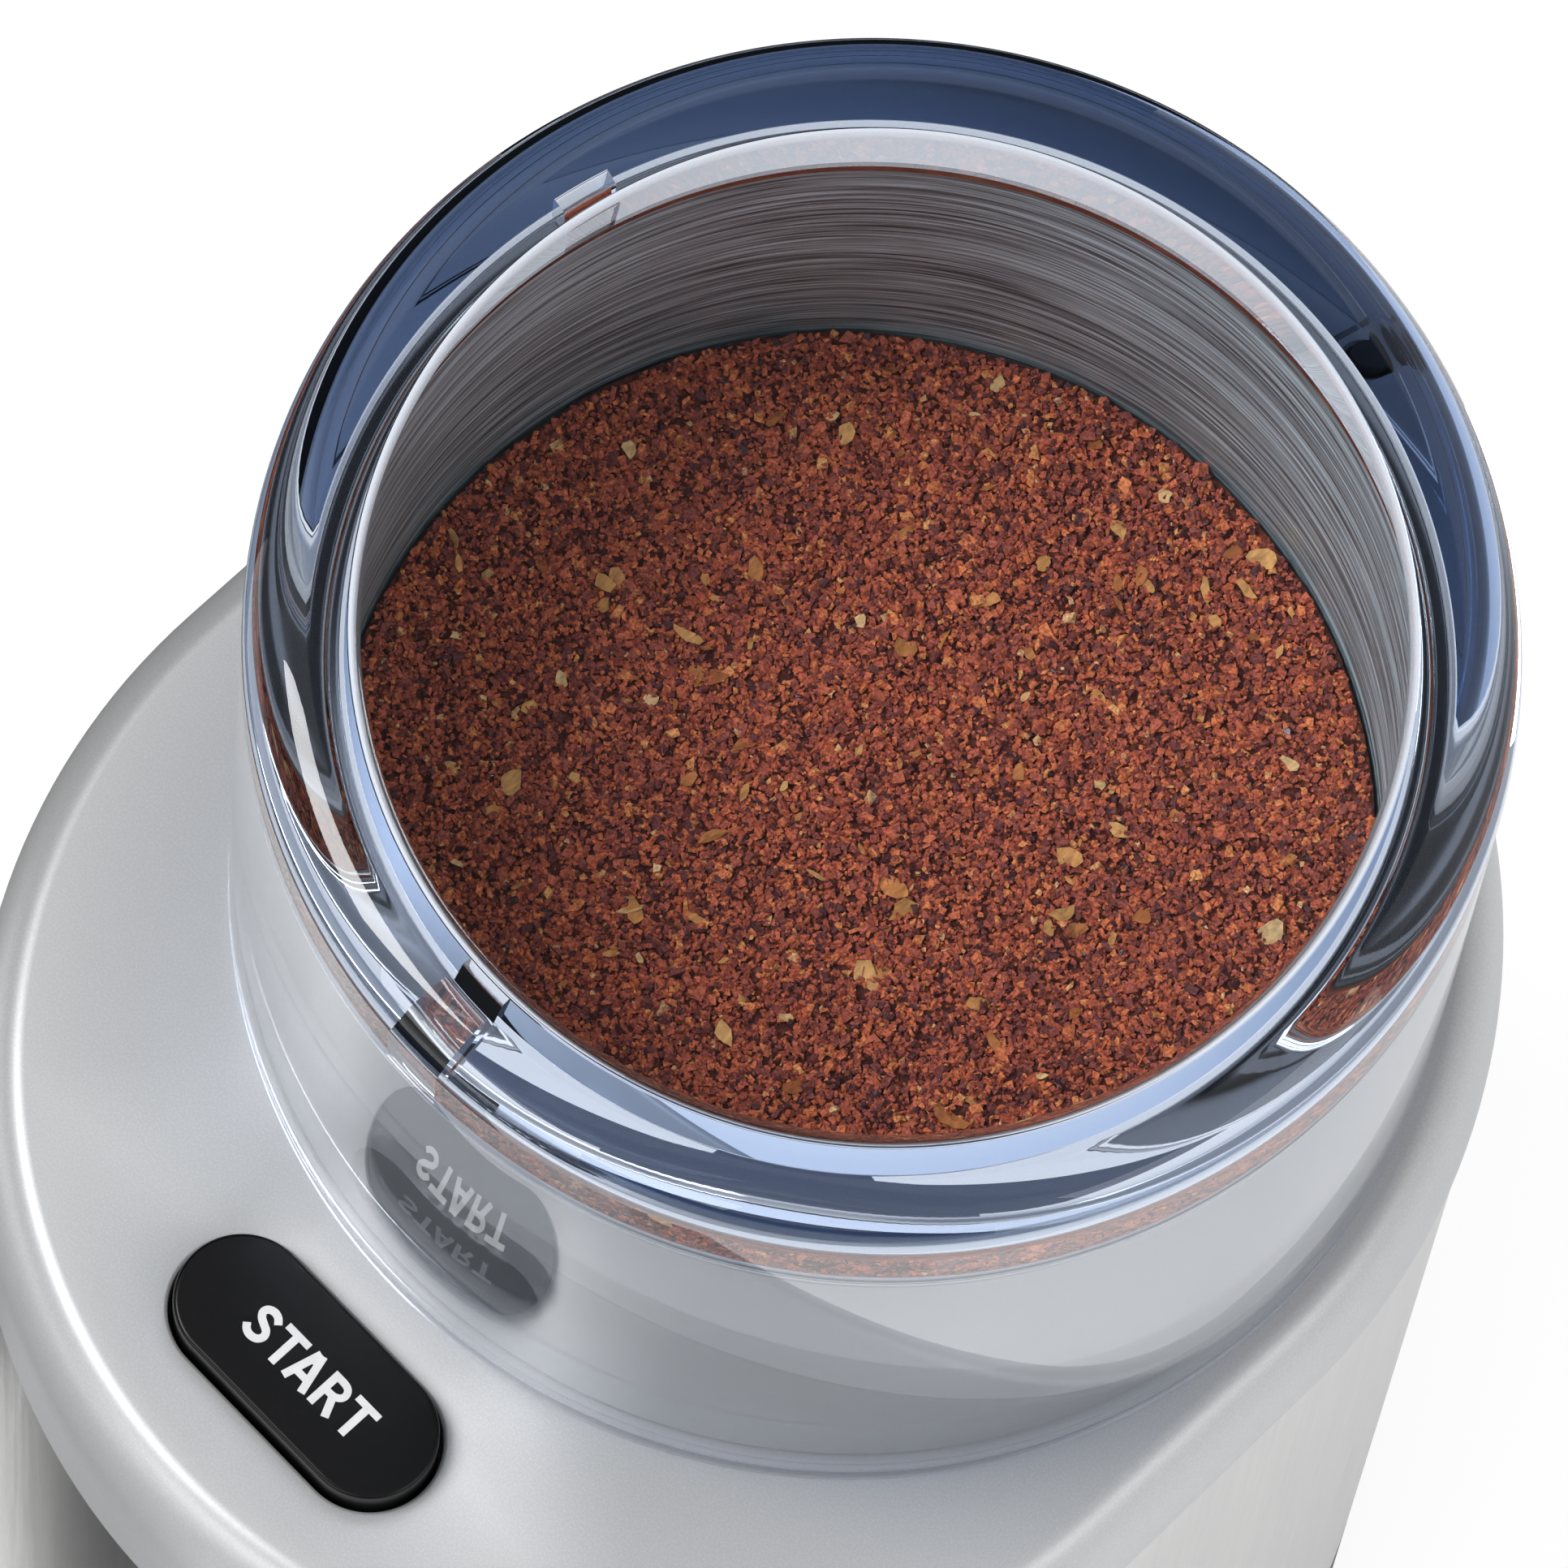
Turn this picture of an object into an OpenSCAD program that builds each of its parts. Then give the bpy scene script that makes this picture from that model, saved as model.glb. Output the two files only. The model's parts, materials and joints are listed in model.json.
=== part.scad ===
// Electric spice grinder: a stadium-shaped body with a silver deck, a lift-out
// double-walled steel bowl, a tall clear lid and a START button in front of it.
// +Z is up, the front faces -Y, and the origin is under the middle of the body.

/* [Body] */
// Width of the deck and its rounded edge beside the lid
deck_margin = 4.8; // [4.5:0.1:10]
// Distance between the centres of the round front and the round back
end_gap = 20.8; // [16:0.1:30]
// Height of the deck above the table
deck_z = 150; // [146:1:170]
// Width of the deck's rounded edge, seen from above
edge_w = 4.1; // [2:0.1:5]
// Height of the deck's rounded edge, seen from the side
edge_h = 8.8; // [4:0.1:9]
// Thickness of the deck
deck_t = 3; // [2:0.1:3.2]
// Depth of the cover's side at the back and the sides
cover_side = 9.6; // [9.2:0.1:14]
// Depth of the cover's side at the front
cover_front = 22; // [15:0.5:26]
// Visible joint between the cover and the steel sleeve
seam_gap = 0.4; // [0.3:0.05:0.8]
// Thickness of the cover's spigot inside the sleeve
spigot_t = 1.8; // [1.2:0.1:2]
// Depth of the cover's spigot below the deck
spigot_h = 28; // [27:0.5:34]
// Thickness of the steel sleeve
sleeve_t = 1.2; // [0.8:0.1:1.4]
// Step from the cover's side back to the sleeve
sleeve_step = 0.3; // [0.1:0.1:0.5]
// Height of the base's outer wall
base_h = 17; // [14:0.5:22]
// Thickness of the base's floor
base_floor = 3; // [2:0.1:4]
// Thickness of the base's outer wall
base_wall = 3.2; // [3:0.1:4]
// Height of the base's spigot inside the sleeve
base_spigot_h = 6; // [4:0.5:10]
// Radius of a rubber foot
foot_r = 7; // [5:0.5:8]
// Height of a rubber foot below the base
foot_h = 3; // [2:0.5:5]

/* [Bowl] */
// Inside radius of the steel bowl
bowl_r = 41.5; // [39:0.1:48]
// Height of the bowl's rim above the deck
rim_z = 51.5; // [45:0.5:60]
// Height of the bowl's inside floor above the deck
bowl_floor = 3; // [2.4:0.1:5]
// Thickness of the bowl's steel
steel_t = 0.6; // [0.5:0.1:0.8]
// Inside radius between the bowl's floor and wall
bowl_fillet = 7; // [3:0.5:8]
// Depth of the solid edge on the rim
rim_h = 1.2; // [0.8:0.1:2]
// Radial gap between the bowl's inner and outer walls
wall_gap = 0.3; // [0.2:0.1:0.5]
// Depth that the bowl's foot sinks into the deck
seat_depth = 12; // [10:0.5:14]
// How much narrower the bowl's foot is than the bowl
foot_inset = 3.5; // [2.5:0.5:6]
// Depth of the ground spice above the bowl's floor
spice_h = 12.4; // [11:0.2:20]

/* [Lid] */
// How far the lid's outer wall stands out from the bowl's inside
lid_out = 6.5; // [6.4:0.1:8]
// Height of the lid above the deck
lid_h = 67; // [60:0.2:80]
// Thickness of the lid's wall at its lower edge
lid_wall = 3.2; // [2.8:0.1:3.4]
// Thickness of the lid's top
lid_top = 3; // [2:0.1:4]
// How much the lid narrows from the deck to its top
lid_draft = 0.1; // [0.1:0.1:0.6]
// Radius of the lid's rounded top edge
lid_round = 5; // [1:0.1:5.4]
// How far the lid's thick ring reaches in over the bowl
ring_over = 1.5; // [0.5:0.1:2]
// Radius between the underside of the lid's top and its ring
lid_fillet = 1; // [0.6:0.1:2.8]
// Width of a key pocket in the underside of the lid's ring
pocket_w = 5; // [3:0.5:8]
// Radial depth of a key pocket
pocket_t = 1.5; // [1:0.1:1.8]
// Height of a key pocket
pocket_h = 6.2; // [3:0.2:8]

/* [Start button] */
// Length of the button along X
button_l = 25.2; // [20:0.2:28]
// Width of the button along Y
button_w = 10.8; // [9:0.2:12]
// Height of the button above the deck
button_up = 2.6; // [2:0.1:3.5]
// Travel of the button
button_travel = 1.8; // [1:0.1:2]
// Gap around the button
button_gap = 0.35; // [0.25:0.05:0.6]
// Strip of deck between the lid and the button
button_strip = 4.2; // [3:0.2:6]

/* [Blade] */
// Length of the blade from tip to tip
blade_l = 64; // [50:1:66]
// Width of the blade
blade_w = 12; // [8:0.5:14]
// Thickness of the blade
blade_t = 1.6; // [1:0.1:2]
// Height of the blade above the bowl's floor
blade_up = 3.4; // [3:0.1:4]
// Rise of the blade's bent tips, in degrees
tip_angle = 10; // [4:1:14]
// Radius of the blade's spindle
spindle_r = 4; // [3:0.1:4.5]

/* [Motor] */
// Outer radius of the stator
stator_r = 32; // [30:0.5:32.5]
// Height of the stator's iron
stator_h = 32; // [28:1:36]
// Radius of the rotor
rotor_r = 15.5; // [12:0.1:16]
// Air gap between the rotor and the stator
air_gap = 0.8; // [0.5:0.1:1.2]
// Radius of the motor's shaft
shaft_r = 3; // [2.5:0.1:4]
// Radius of the fan
fan_r = 30; // [24:0.5:31]
// Number of blades on the fan
fan_blades = 10; // [6:1:14]
// Thickness of the motor's chassis
chassis_t = 2; // [1.5:0.1:3]

/* [Clearances] */
// Running clearance between a shaft and its bearing
run_fit = 0.05; // [0.03:0.01:0.1]
// Clearance between fixed pieces that fit into each other
fit = 0.1; // [0.05:0.01:0.2]
// Clearance between pieces that lift off or slide
slip = 0.3; // [0.25:0.05:0.35]

/* [Hidden] */
$fn = 128;
eps = 0.01;

// Plan of the body
lid_r = bowl_r + lid_out;
rim_r = bowl_r + 2 * steel_t + wall_gap;
seat_r = bowl_r - foot_inset;
body_r = lid_r + deck_margin;
bowl_y = end_gap / 2;
sleeve_r = body_r - sleeve_step;
sleeve_in = sleeve_r - sleeve_t;
spigot_r = sleeve_in - slip;
spigot_in = spigot_r - spigot_t;
body_reach = body_r + end_gap / 2;
spigot_z = deck_z - spigot_h;
base_z = foot_h + base_h;
base_top = foot_h + base_floor;

// Bowl's seat and the chassis below it
seat_t = 2.6;
seat_wall = 2;
seat_in = seat_r + slip;
seat_z = deck_z - seat_depth - slip;
seat_under = seat_z - seat_t;
screw_r = 1.5;
screw_head_r = 2.7;
screw_head_h = 2;
boss_r = 3.2;
case_screw_r = spigot_in - slip - boss_r;
flange_t = 3;
flange_r = case_screw_r - boss_r + 0.6;
flange_z = seat_under - flange_t;
tube_r = stator_r + 1.8 + chassis_t;
tube_in = tube_r - chassis_t;
foot_flange_z = base_top + 10;
screw_angles = [45, 135, 225, 315];
foot_spread = body_r * 0.5;
foot_reach = bowl_y + body_r * 0.42;

// Motor, from the chassis's flange down
cushion_h = 2.5;
upper_z = flange_z - cushion_h;
plate_t = 3.5;
bearing_r = 9.5;
bearing_h = 6;
bearing_wall = 2.5;
upper_bearing_z = upper_z - plate_t - bearing_h;
coil_top = upper_bearing_z - 6;
coil_end = 8;
stator_top = coil_top - coil_end;
stator_z = stator_top - stator_h;
coil_z = stator_z - coil_end;
comm_r = 9;
comm_h = 11;
comm_z = coil_z - 3 - comm_h;
brush_z = comm_z + comm_h / 2;
brush_w = 6;
brush_h = 8;
brush_l = 14;
holder_t = 1.6;
holder_l = 15;
holder_gap = 3;
lower_z = comm_z - 2;
lower_bearing_z = lower_z - plate_t - bearing_h + 2;
fan_h = 11;
fan_z = lower_bearing_z - 5 - fan_h;
shaft_z = fan_z - 1;
bolt_reach = stator_r - 2.6;
bolt_r = 1.5;
stator_flat = bolt_reach - bolt_r - 1.2;
pole_x0 = rotor_r + air_gap + 2.8;
coil_w = 6;
coil_y0 = 13;
coil_y1 = 19;
slot_gap = 0.5;

// Couplings between the motor and the bowl
teeth = 6;
tooth_r = 9.6;
tooth_root = 7.4;
tooth_w = 3.4;
tooth_h = 3.6;
drive_top = seat_z + 0.3 + tooth_h;
drive_body_r = 11;
seat_hole_r = drive_body_r + 1;
drive_body_z = flange_z + 0.6;
socket_z = seat_z + slip + 0.2;
socket_r = 13;
socket_h = tooth_h + 2.2;
base_pocket_r = socket_r + 1;
clip_t = 1;
base_pocket_z = socket_z + socket_h + clip_t + 3 * fit;
shaft_top = drive_top - 0.4;

// Bowl, measured from the deck
floor_z = deck_z + bowl_floor;
bowl_under = floor_z - steel_t;
liner_out = bowl_r + steel_t;
jacket_in = liner_out + wall_gap;
rim_top = deck_z + rim_z;
rim_low = rim_top - rim_h;
jacket_z = deck_z + slip + 0.3;
jacket_top = rim_low - fit;
foot_z = deck_z - seat_depth;
bushing_r = spindle_r + 3;
seal_r = spindle_r + 4;
seal_h = 1.7;
blade_z = floor_z + blade_up;
nut_r = 5.6;
nut_h = 2.6;
nut_top = blade_z + blade_t + nut_h;
spindle_top = nut_top - 0.6;
tip_top = blade_z + blade_t + blade_l / 4 * tan(tip_angle);
cavity_r = blade_l / 2 + 2.4;
cavity_top = max(nut_top, tip_top) + 0.6;
spice_top = max(floor_z + spice_h, cavity_top + 1.4);

// Lid
lid_z = deck_z + slip;
lid_top_z = deck_z + lid_h;
lid_top_r = lid_r - lid_draft;
ring_in = bowl_r - ring_over;
ring_low = bowl_r - 2 * fit;
ring_z = rim_top + slip;
lid_under = lid_top_z - lid_top;
skirt_low = lid_r - lid_wall;
skirt_high = rim_r + slip + 0.05;
pocket_top = min(ring_z + pocket_h, lid_under - 1);
pocket_angles = [268, 168];

// Start button and the safety pin under the lid
button_y = bowl_y - lid_r - button_strip - button_w / 2;
deck_under = deck_z - deck_t;
flange_lip = 1.4;
flange_h = 1.8;
button_flange_z = deck_under - slip - flange_h;
stem_r = 2.4;
carrier_z = button_flange_z - 11.5;
carrier_t = 2;
stem_z = carrier_z + 0.3;
switch_l = 20;
switch_d = 6.4;
switch_h = 10;
switch_top = stem_z - button_travel - 0.4;
carrier_x = 19.5;
carrier_screw_l = 9;
chassis_screw_l = 8;
tab_up = 3;
tab_w = 0.8;
tab_l = 4;
tab_h = 2.4;
switch_pitch = 7;
pin_r = 1.1;
pin_travel = 1.5;
pin_up = 1.3;
pin_inset = 1.175;
pin_y = bowl_y + lid_r - pin_inset;
notch_w = 5;
notch_h = pin_up + slip + 0.3;
mini_l = 12.8;
mini_d = 5.4;
mini_h = 6.4;
mini_y = bowl_y + sqrt(pow(spigot_in, 2) - pow(mini_l / 2, 2)) - slip - mini_d / 2;
pin_low = seat_under + mini_h + pin_travel + 0.6;

// Terminal block on the base and its leads
block_l = 24;
block_w = 9;
block_h = 11;
block_hole = 5;
block_y = button_y + switch_d / 2 + 1.6;
lead_r = 1;

// Cord gland
gland_z = foot_h + base_h / 2 + 0.5;
gland_r = 5;
cord_hole_r = 3.5;
gland_in = bowl_y + sleeve_r - base_wall;

// ---------- helpers ----------

// A stadium-shaped slab between two heights
module stadium(r, z0, z1) {
    translate([0, 0, z0]) {
        linear_extrude(z1 - z0) {
            union() {
                translate([0, end_gap / 2]) circle(r);
                translate([0, -end_gap / 2]) circle(r);
                square([2 * r, end_gap], center = true);
            }
        }
    }
}

module at_bowl(z = 0) {
    translate([0, bowl_y, z]) children();
}

module tube(r_out, r_in, z0, z1) {
    difference() {
        at_bowl(z0) cylinder(r = r_out, h = z1 - z0);
        at_bowl(z0 - 1) cylinder(r = r_in, h = z1 - z0 + 2);
    }
}

module around(angles, r) {
    for (a = angles) {
        at_bowl() rotate([0, 0, a]) translate([r, 0, 0]) children();
    }
}

// A bar with round ends along X
module pill(l, w, h) {
    linear_extrude(h) {
        union() {
            square([l - w, w], center = true);
            translate([(l - w) / 2, 0]) circle(w / 2);
            translate([-(l - w) / 2, 0]) circle(w / 2);
        }
    }
}

// Everything above the seam between the cover and the sleeve, seen from the side
module above_seam(drop) {
    far = body_reach + 20;
    slope = (cover_front - cover_side) / (body_reach + bowl_y);
    front_low = cover_side + slope * (far + bowl_y);
    side = [
        [-far, deck_z - front_low - drop],
        [bowl_y, deck_z - cover_side - drop],
        [far, deck_z - cover_side - drop],
        [far, deck_z + 20],
        [-far, deck_z + 20]
    ];
    translate([-far, 0, 0]) rotate([90, 0, 90]) linear_extrude(2 * far) polygon(side);
}

// Level section through one wire of a coil spring: a band as long as the wire's slope makes it
function wire_edge(r, wire, half_angle, steps, side) = [
    for (i = [-steps:steps])
        let (
            a = side * half_angle * i / steps,
            t = side * wire * sqrt(1 - pow(i / steps, 2))
        )
            [(r + t) * cos(a), (r + t) * sin(a)]
];

module coil_spring(r, wire, z0, z1, turns) {
    half_angle = 360 * wire * turns / (z1 - z0);
    outside = wire_edge(r, wire, half_angle, 4, 1);
    inside = wire_edge(r, wire, half_angle, 4, -1);
    section = concat(outside, [for (i = [1:len(inside) - 2]) inside[i]]);
    translate([0, 0, z0]) {
        linear_extrude(height = z1 - z0, twist = -360 * turns, slices = 12 * turns, $fn = 12) {
            polygon(section);
        }
    }
}

module screw(z_head, z_tip) {
    translate([0, 0, z_head]) cylinder(r = screw_head_r, h = screw_head_h);
    translate([0, 0, z_head]) cylinder(r = screw_r, h = z_tip - z_head);
}

// ---------- body ----------

// Half profile of the rounded cover: a quarter ellipse over a straight side
function edge_points(steps) = [
    for (i = [0:steps])
        let (a = 90 * i / steps)
            [body_r - edge_w + edge_w * sin(a), deck_z - edge_h + edge_h * cos(a)]
];

module cover_blank() {
    low = deck_z - cover_front - 1;
    right = concat(edge_points(12), [[body_r, low]]);
    left = [for (i = [len(right) - 1:-1:0]) [-right[i][0], right[i][1]]];
    half = concat([[0, low], [0, deck_z]], right);
    across = concat(right, left);
    translate([0, end_gap / 2, 0]) rotate_extrude(angle = 180) polygon(half);
    translate([0, -end_gap / 2, 0]) rotate([0, 0, 180]) rotate_extrude(angle = 180) polygon(half);
    translate([0, end_gap / 2, 0]) rotate([90, 0, 0]) linear_extrude(end_gap) polygon(across);
}

module deck_cover() {
    color([0.78, 0.79, 0.81]) difference() {
        union() {
            intersection() {
                cover_blank();
                above_seam(0);
            }
            difference() {
                stadium(spigot_r, spigot_z, deck_z - edge_h);
                stadium(spigot_in, spigot_z - 1, deck_under);
            }
        }
        difference() {
            stadium(spigot_in, spigot_z - 1, deck_under);
            at_bowl(seat_under) cylinder(r = seat_in + seat_wall, h = seat_depth + seat_t + 1);
            around(screw_angles, case_screw_r) {
                translate([0, 0, seat_under]) cylinder(r = boss_r, h = seat_depth + seat_t + 1);
            }
            for (s = [-1, 1]) {
                translate([s * carrier_x, button_y, carrier_z + carrier_t]) {
                    cylinder(r = boss_r, h = deck_z - carrier_z);
                }
            }
        }
        at_bowl(seat_z) cylinder(r = seat_in, h = seat_depth + 2);
        at_bowl(seat_under - 1) cylinder(r = seat_hole_r, h = seat_t + 2);
        around(screw_angles, case_screw_r) {
            translate([0, 0, seat_under - 1]) cylinder(r = screw_r + fit, h = 10);
        }
        for (s = [-1, 1]) {
            translate([s * carrier_x, button_y, carrier_z]) cylinder(r = screw_r + fit, h = 10);
        }
        translate([0, button_y, deck_under - 1]) {
            pill(button_l + 2 * button_gap, button_w + 2 * button_gap, deck_t + 2);
        }
        translate([0, pin_y, deck_under - 1]) cylinder(r = pin_r + fit, h = deck_t + 2);
    }
}

module housing_sleeve() {
    color([0.72, 0.72, 0.71]) difference() {
        stadium(sleeve_r, base_z, deck_z);
        stadium(sleeve_in, base_z - 1, deck_z + 1);
        above_seam(seam_gap);
    }
}

module base_plate() {
    vent_rows = [-24:8:24];
    color([0.2, 0.2, 0.21]) difference() {
        union() {
            difference() {
                union() {
                    stadium(sleeve_r, foot_h, base_z);
                    stadium(spigot_r, base_z - 1, base_z + base_spigot_h);
                }
                stadium(sleeve_r - base_wall, base_top, base_z + base_spigot_h + 1);
            }
            around(screw_angles, case_screw_r) {
                translate([0, 0, foot_h]) cylinder(r = boss_r + 0.6, h = foot_flange_z - foot_h);
            }
        }
        around(screw_angles, case_screw_r) {
            translate([0, 0, foot_h - 1]) cylinder(r = screw_r + fit, h = foot_flange_z);
            translate([0, 0, foot_h - 1]) cylinder(r = screw_head_r + fit, h = screw_head_h + 1.4);
        }
        for (x = vent_rows) {
            translate([x, bowl_y, foot_h - 1]) rotate([0, 0, 90]) pill(30, 3, base_floor + 2);
        }
        for (sx = [-1, 1], sy = [-1, 1]) {
            translate([sx * foot_spread, sy * foot_reach, foot_h - 1]) {
                cylinder(r = foot_r * 0.4 + fit, h = base_floor + 2);
            }
        }
        translate([0, gland_in - 2, gland_z]) rotate([-90, 0, 0]) cylinder(r = gland_r + fit, h = 20);
    }
}

module rubber_feet() {
    color([0.08, 0.08, 0.08]) for (sx = [-1, 1], sy = [-1, 1]) {
        translate([sx * foot_spread, sy * foot_reach, 0]) {
            cylinder(r = foot_r, h = foot_h);
            cylinder(r = foot_r * 0.4, h = foot_h + base_floor);
        }
    }
}

module base_screws() {
    color([0.7, 0.7, 0.7]) around(screw_angles, case_screw_r) {
        screw(foot_h + 0.4, foot_flange_z + flange_t - 0.4);
    }
}

module cord_gland() {
    color([0.08, 0.08, 0.08]) translate([0, gland_in, gland_z]) rotate([-90, 0, 0]) difference() {
        union() {
            translate([0, 0, -3]) cylinder(r = gland_r, h = base_wall + 2.9);
            translate([0, 0, -3]) cylinder(r = gland_r + 0.9, h = 1.6);
        }
        translate([0, 0, -4]) cylinder(r = cord_hole_r, h = base_wall + 6);
    }
}

module terminal_block() {
    color([0.9, 0.9, 0.86]) translate([0, block_y, base_top]) difference() {
        translate([-block_l / 2, -block_w / 2, 0]) cube([block_l, block_w, block_h]);
        for (x = [-switch_pitch, 0, switch_pitch]) {
            translate([x, 0, block_h - block_hole]) cylinder(r = lead_r + 0.8, h = block_hole + 1);
        }
    }
}

module switch_leads() {
    low = base_top + block_h - block_hole + 0.3;
    tab_z = switch_top - switch_h + tab_up;
    color([0.75, 0.75, 0.72]) for (s = [-1, 1]) {
        translate([s * switch_pitch, block_y, low]) cylinder(r = lead_r, h = tab_z - slip - low);
    }
}

// ---------- chassis and switches ----------

module chassis() {
    tab_out = mini_y + mini_d / 2 - bowl_y - 0.5;
    window_w = 14;
    over = 3;
    vent_h = 14;
    color([0.85, 0.85, 0.82]) difference() {
        union() {
            at_bowl(foot_flange_z) cylinder(r = tube_r, h = flange_z - foot_flange_z + 1);
            at_bowl(flange_z) cylinder(r = flange_r, h = flange_t);
            at_bowl(foot_flange_z) cylinder(r = flange_r, h = flange_t);
            around(screw_angles, case_screw_r) {
                translate([0, 0, flange_z]) cylinder(r = boss_r, h = flange_t);
                translate([0, 0, foot_flange_z]) cylinder(r = boss_r, h = flange_t);
            }
            translate([-mini_l / 2 - 1, bowl_y + tube_r, flange_z]) {
                cube([mini_l + 2, tab_out - tube_r, flange_t]);
            }
        }
        at_bowl(foot_flange_z - 1) cylinder(r = tube_in, h = flange_z - foot_flange_z + 1);
        at_bowl(flange_z - 1) cylinder(r = seat_hole_r, h = flange_t + 2);
        around(screw_angles, case_screw_r) {
            translate([0, 0, foot_flange_z - 1]) cylinder(r = screw_r + fit, h = flange_t + 2);
            translate([0, 0, flange_z - 1]) cylinder(r = screw_r + fit, h = flange_t + 2);
        }
        for (s = [-1, 1]) {
            at_bowl(flange_z - 1) translate([0, s * bolt_reach, 0]) {
                cylinder(r = bolt_r + fit, h = flange_t + 2);
            }
        }
        for (a = [0:60:300]) {
            at_bowl(stator_z) rotate([0, 0, a]) translate([tube_in - over, -window_w / 2, 0]) {
                cube([chassis_t + 2 * over, window_w, stator_h]);
            }
        }
        for (a = [0, 180]) {
            at_bowl(foot_flange_z + flange_t + 2) rotate([0, 0, a]) {
                translate([tube_in - over, -window_w / 2, 0]) {
                    cube([chassis_t + 2 * over, window_w, vent_h]);
                }
            }
        }
    }
}

module chassis_screws() {
    color([0.7, 0.7, 0.7]) around(screw_angles, case_screw_r) {
        screw(flange_z - screw_head_h, seat_under + chassis_screw_l);
    }
}

module switch_carrier() {
    arm = switch_top - switch_h;
    shelf_t = 1.5;
    color([0.85, 0.85, 0.82]) translate([0, button_y, 0]) difference() {
        union() {
            translate([0, 0, carrier_z]) pill(2 * carrier_x + 2 * boss_r, 2 * boss_r + 3, carrier_t);
            for (s = [-1, 1]) {
                translate([s * (switch_l / 2 + fit + 1) - 1, -switch_d / 2, arm - shelf_t]) {
                    cube([2, switch_d, carrier_z - arm + shelf_t + 1]);
                }
            }
            translate([-switch_l / 2 - fit - 1, -switch_d / 2, arm - shelf_t]) {
                cube([switch_l + 2 * fit + 2, switch_d, shelf_t]);
            }
        }
        translate([0, 0, carrier_z - 1]) cylinder(r = stem_r + slip, h = carrier_t + 2);
        for (s = [-1, 1]) {
            translate([s * carrier_x, 0, carrier_z - 1]) {
                cylinder(r = screw_r + fit, h = carrier_t + 2);
            }
        }
    }
}

module carrier_screws() {
    color([0.7, 0.7, 0.7]) for (s = [-1, 1]) {
        translate([s * carrier_x, button_y, 0]) {
            screw(carrier_z - screw_head_h, carrier_z + carrier_screw_l);
        }
    }
}

module start_switch() {
    color([0.15, 0.15, 0.16]) translate([0, button_y, switch_top - switch_h]) {
        translate([-switch_l / 2, -switch_d / 2, 0]) cube([switch_l, switch_d, switch_h - 1]);
        translate([0, 0, 1]) cylinder(r = 1.4, h = switch_h - 1);
        for (x = [-switch_pitch, 0, switch_pitch]) {
            translate([x - tab_w / 2, switch_d / 2 - 0.5, tab_up]) cube([tab_w, tab_l, tab_h]);
        }
    }
}

module start_button() {
    color([0.05, 0.05, 0.05]) translate([0, button_y, 0]) {
        cap_z = deck_z + button_up;
        translate([0, 0, button_flange_z]) {
            pill(button_l, button_w, cap_z - button_flange_z - 0.8);
        }
        translate([0, 0, cap_z - 0.9]) pill(button_l - 0.5, button_w - 0.5, 0.5);
        translate([0, 0, cap_z - 0.4]) pill(button_l - 1.4, button_w - 1.4, 0.4);
        translate([0, 0, button_flange_z]) {
            pill(button_l + 2 * flange_lip, button_w + 2 * flange_lip, flange_h);
        }
        translate([0, 0, stem_z]) cylinder(r = stem_r, h = button_flange_z - stem_z + 1);
    }
}

module button_spring() {
    color([0.75, 0.75, 0.75]) translate([0, button_y, 0]) {
        coil_spring(stem_r + 1.6, 0.35, carrier_z + carrier_t, button_flange_z, 5);
    }
}

module interlock_pin() {
    color([0.1, 0.1, 0.1]) translate([0, pin_y, 0]) {
        translate([0, 0, pin_low]) cylinder(r = pin_r, h = deck_z + pin_up - pin_low);
        translate([0, 0, deck_under - slip - 1.2]) cylinder(r = pin_r + 0.9, h = 1.2);
    }
}

module interlock_spring() {
    color([0.75, 0.75, 0.75]) translate([0, pin_y, 0]) {
        coil_spring(pin_r + 0.6, 0.2, seat_under + mini_h - 0.4, deck_under - slip - 1.2, 4);
    }
}

module interlock_switch() {
    color([0.15, 0.15, 0.16]) translate([0, 0, seat_under]) {
        translate([-mini_l / 2, mini_y - mini_d / 2, 0]) cube([mini_l, mini_d, mini_h - 0.4]);
        translate([0, pin_y, 0]) cylinder(r = 0.8, h = mini_h);
    }
}

// ---------- motor ----------

module motor_cushion() {
    color([0.08, 0.08, 0.08]) difference() {
        tube(tube_in - 0.6, tube_in - 8, upper_z, flange_z);
        for (s = [-1, 1]) {
            at_bowl(upper_z - 1) translate([0, s * bolt_reach, 0]) cylinder(r = bolt_r + fit, h = 9);
        }
    }
}

// A bearing bracket: a vented plate with a cup that holds the bearing
module bracket(plate_z, cup_z, cup_mouth) {
    difference() {
        union() {
            tube(tube_in - 0.5, bearing_r - 2, plate_z, plate_z + plate_t);
            tube(bearing_r + bearing_wall, shaft_r + 2, cup_z, plate_z + 1);
        }
        at_bowl(cup_mouth) cylinder(r = bearing_r + fit, h = bearing_h + fit);
        for (s = [-1, 1]) {
            at_bowl(plate_z - 1) translate([0, s * bolt_reach, 0]) {
                cylinder(r = bolt_r + fit, h = plate_t + 2);
            }
        }
        for (a = [0:60:300]) {
            at_bowl(plate_z - 1) rotate([0, 0, a]) translate([tube_in * 0.62, 0, 0]) {
                cylinder(r = 5, h = plate_t + 2);
            }
        }
    }
}

module upper_bracket() {
    color([0.6, 0.6, 0.62]) bracket(upper_z - plate_t, upper_bearing_z - 2, upper_bearing_z);
}

module lower_bracket() {
    color([0.6, 0.6, 0.62]) {
        bracket(lower_z - plate_t, lower_bearing_z - 2, lower_bearing_z);
    }
}

module bearing(z) {
    tube(bearing_r, shaft_r + run_fit, z, z + bearing_h);
}

module upper_bearing() {
    color([0.8, 0.8, 0.82]) bearing(upper_bearing_z);
}

module lower_bearing() {
    color([0.8, 0.8, 0.82]) bearing(lower_bearing_z);
}

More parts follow.
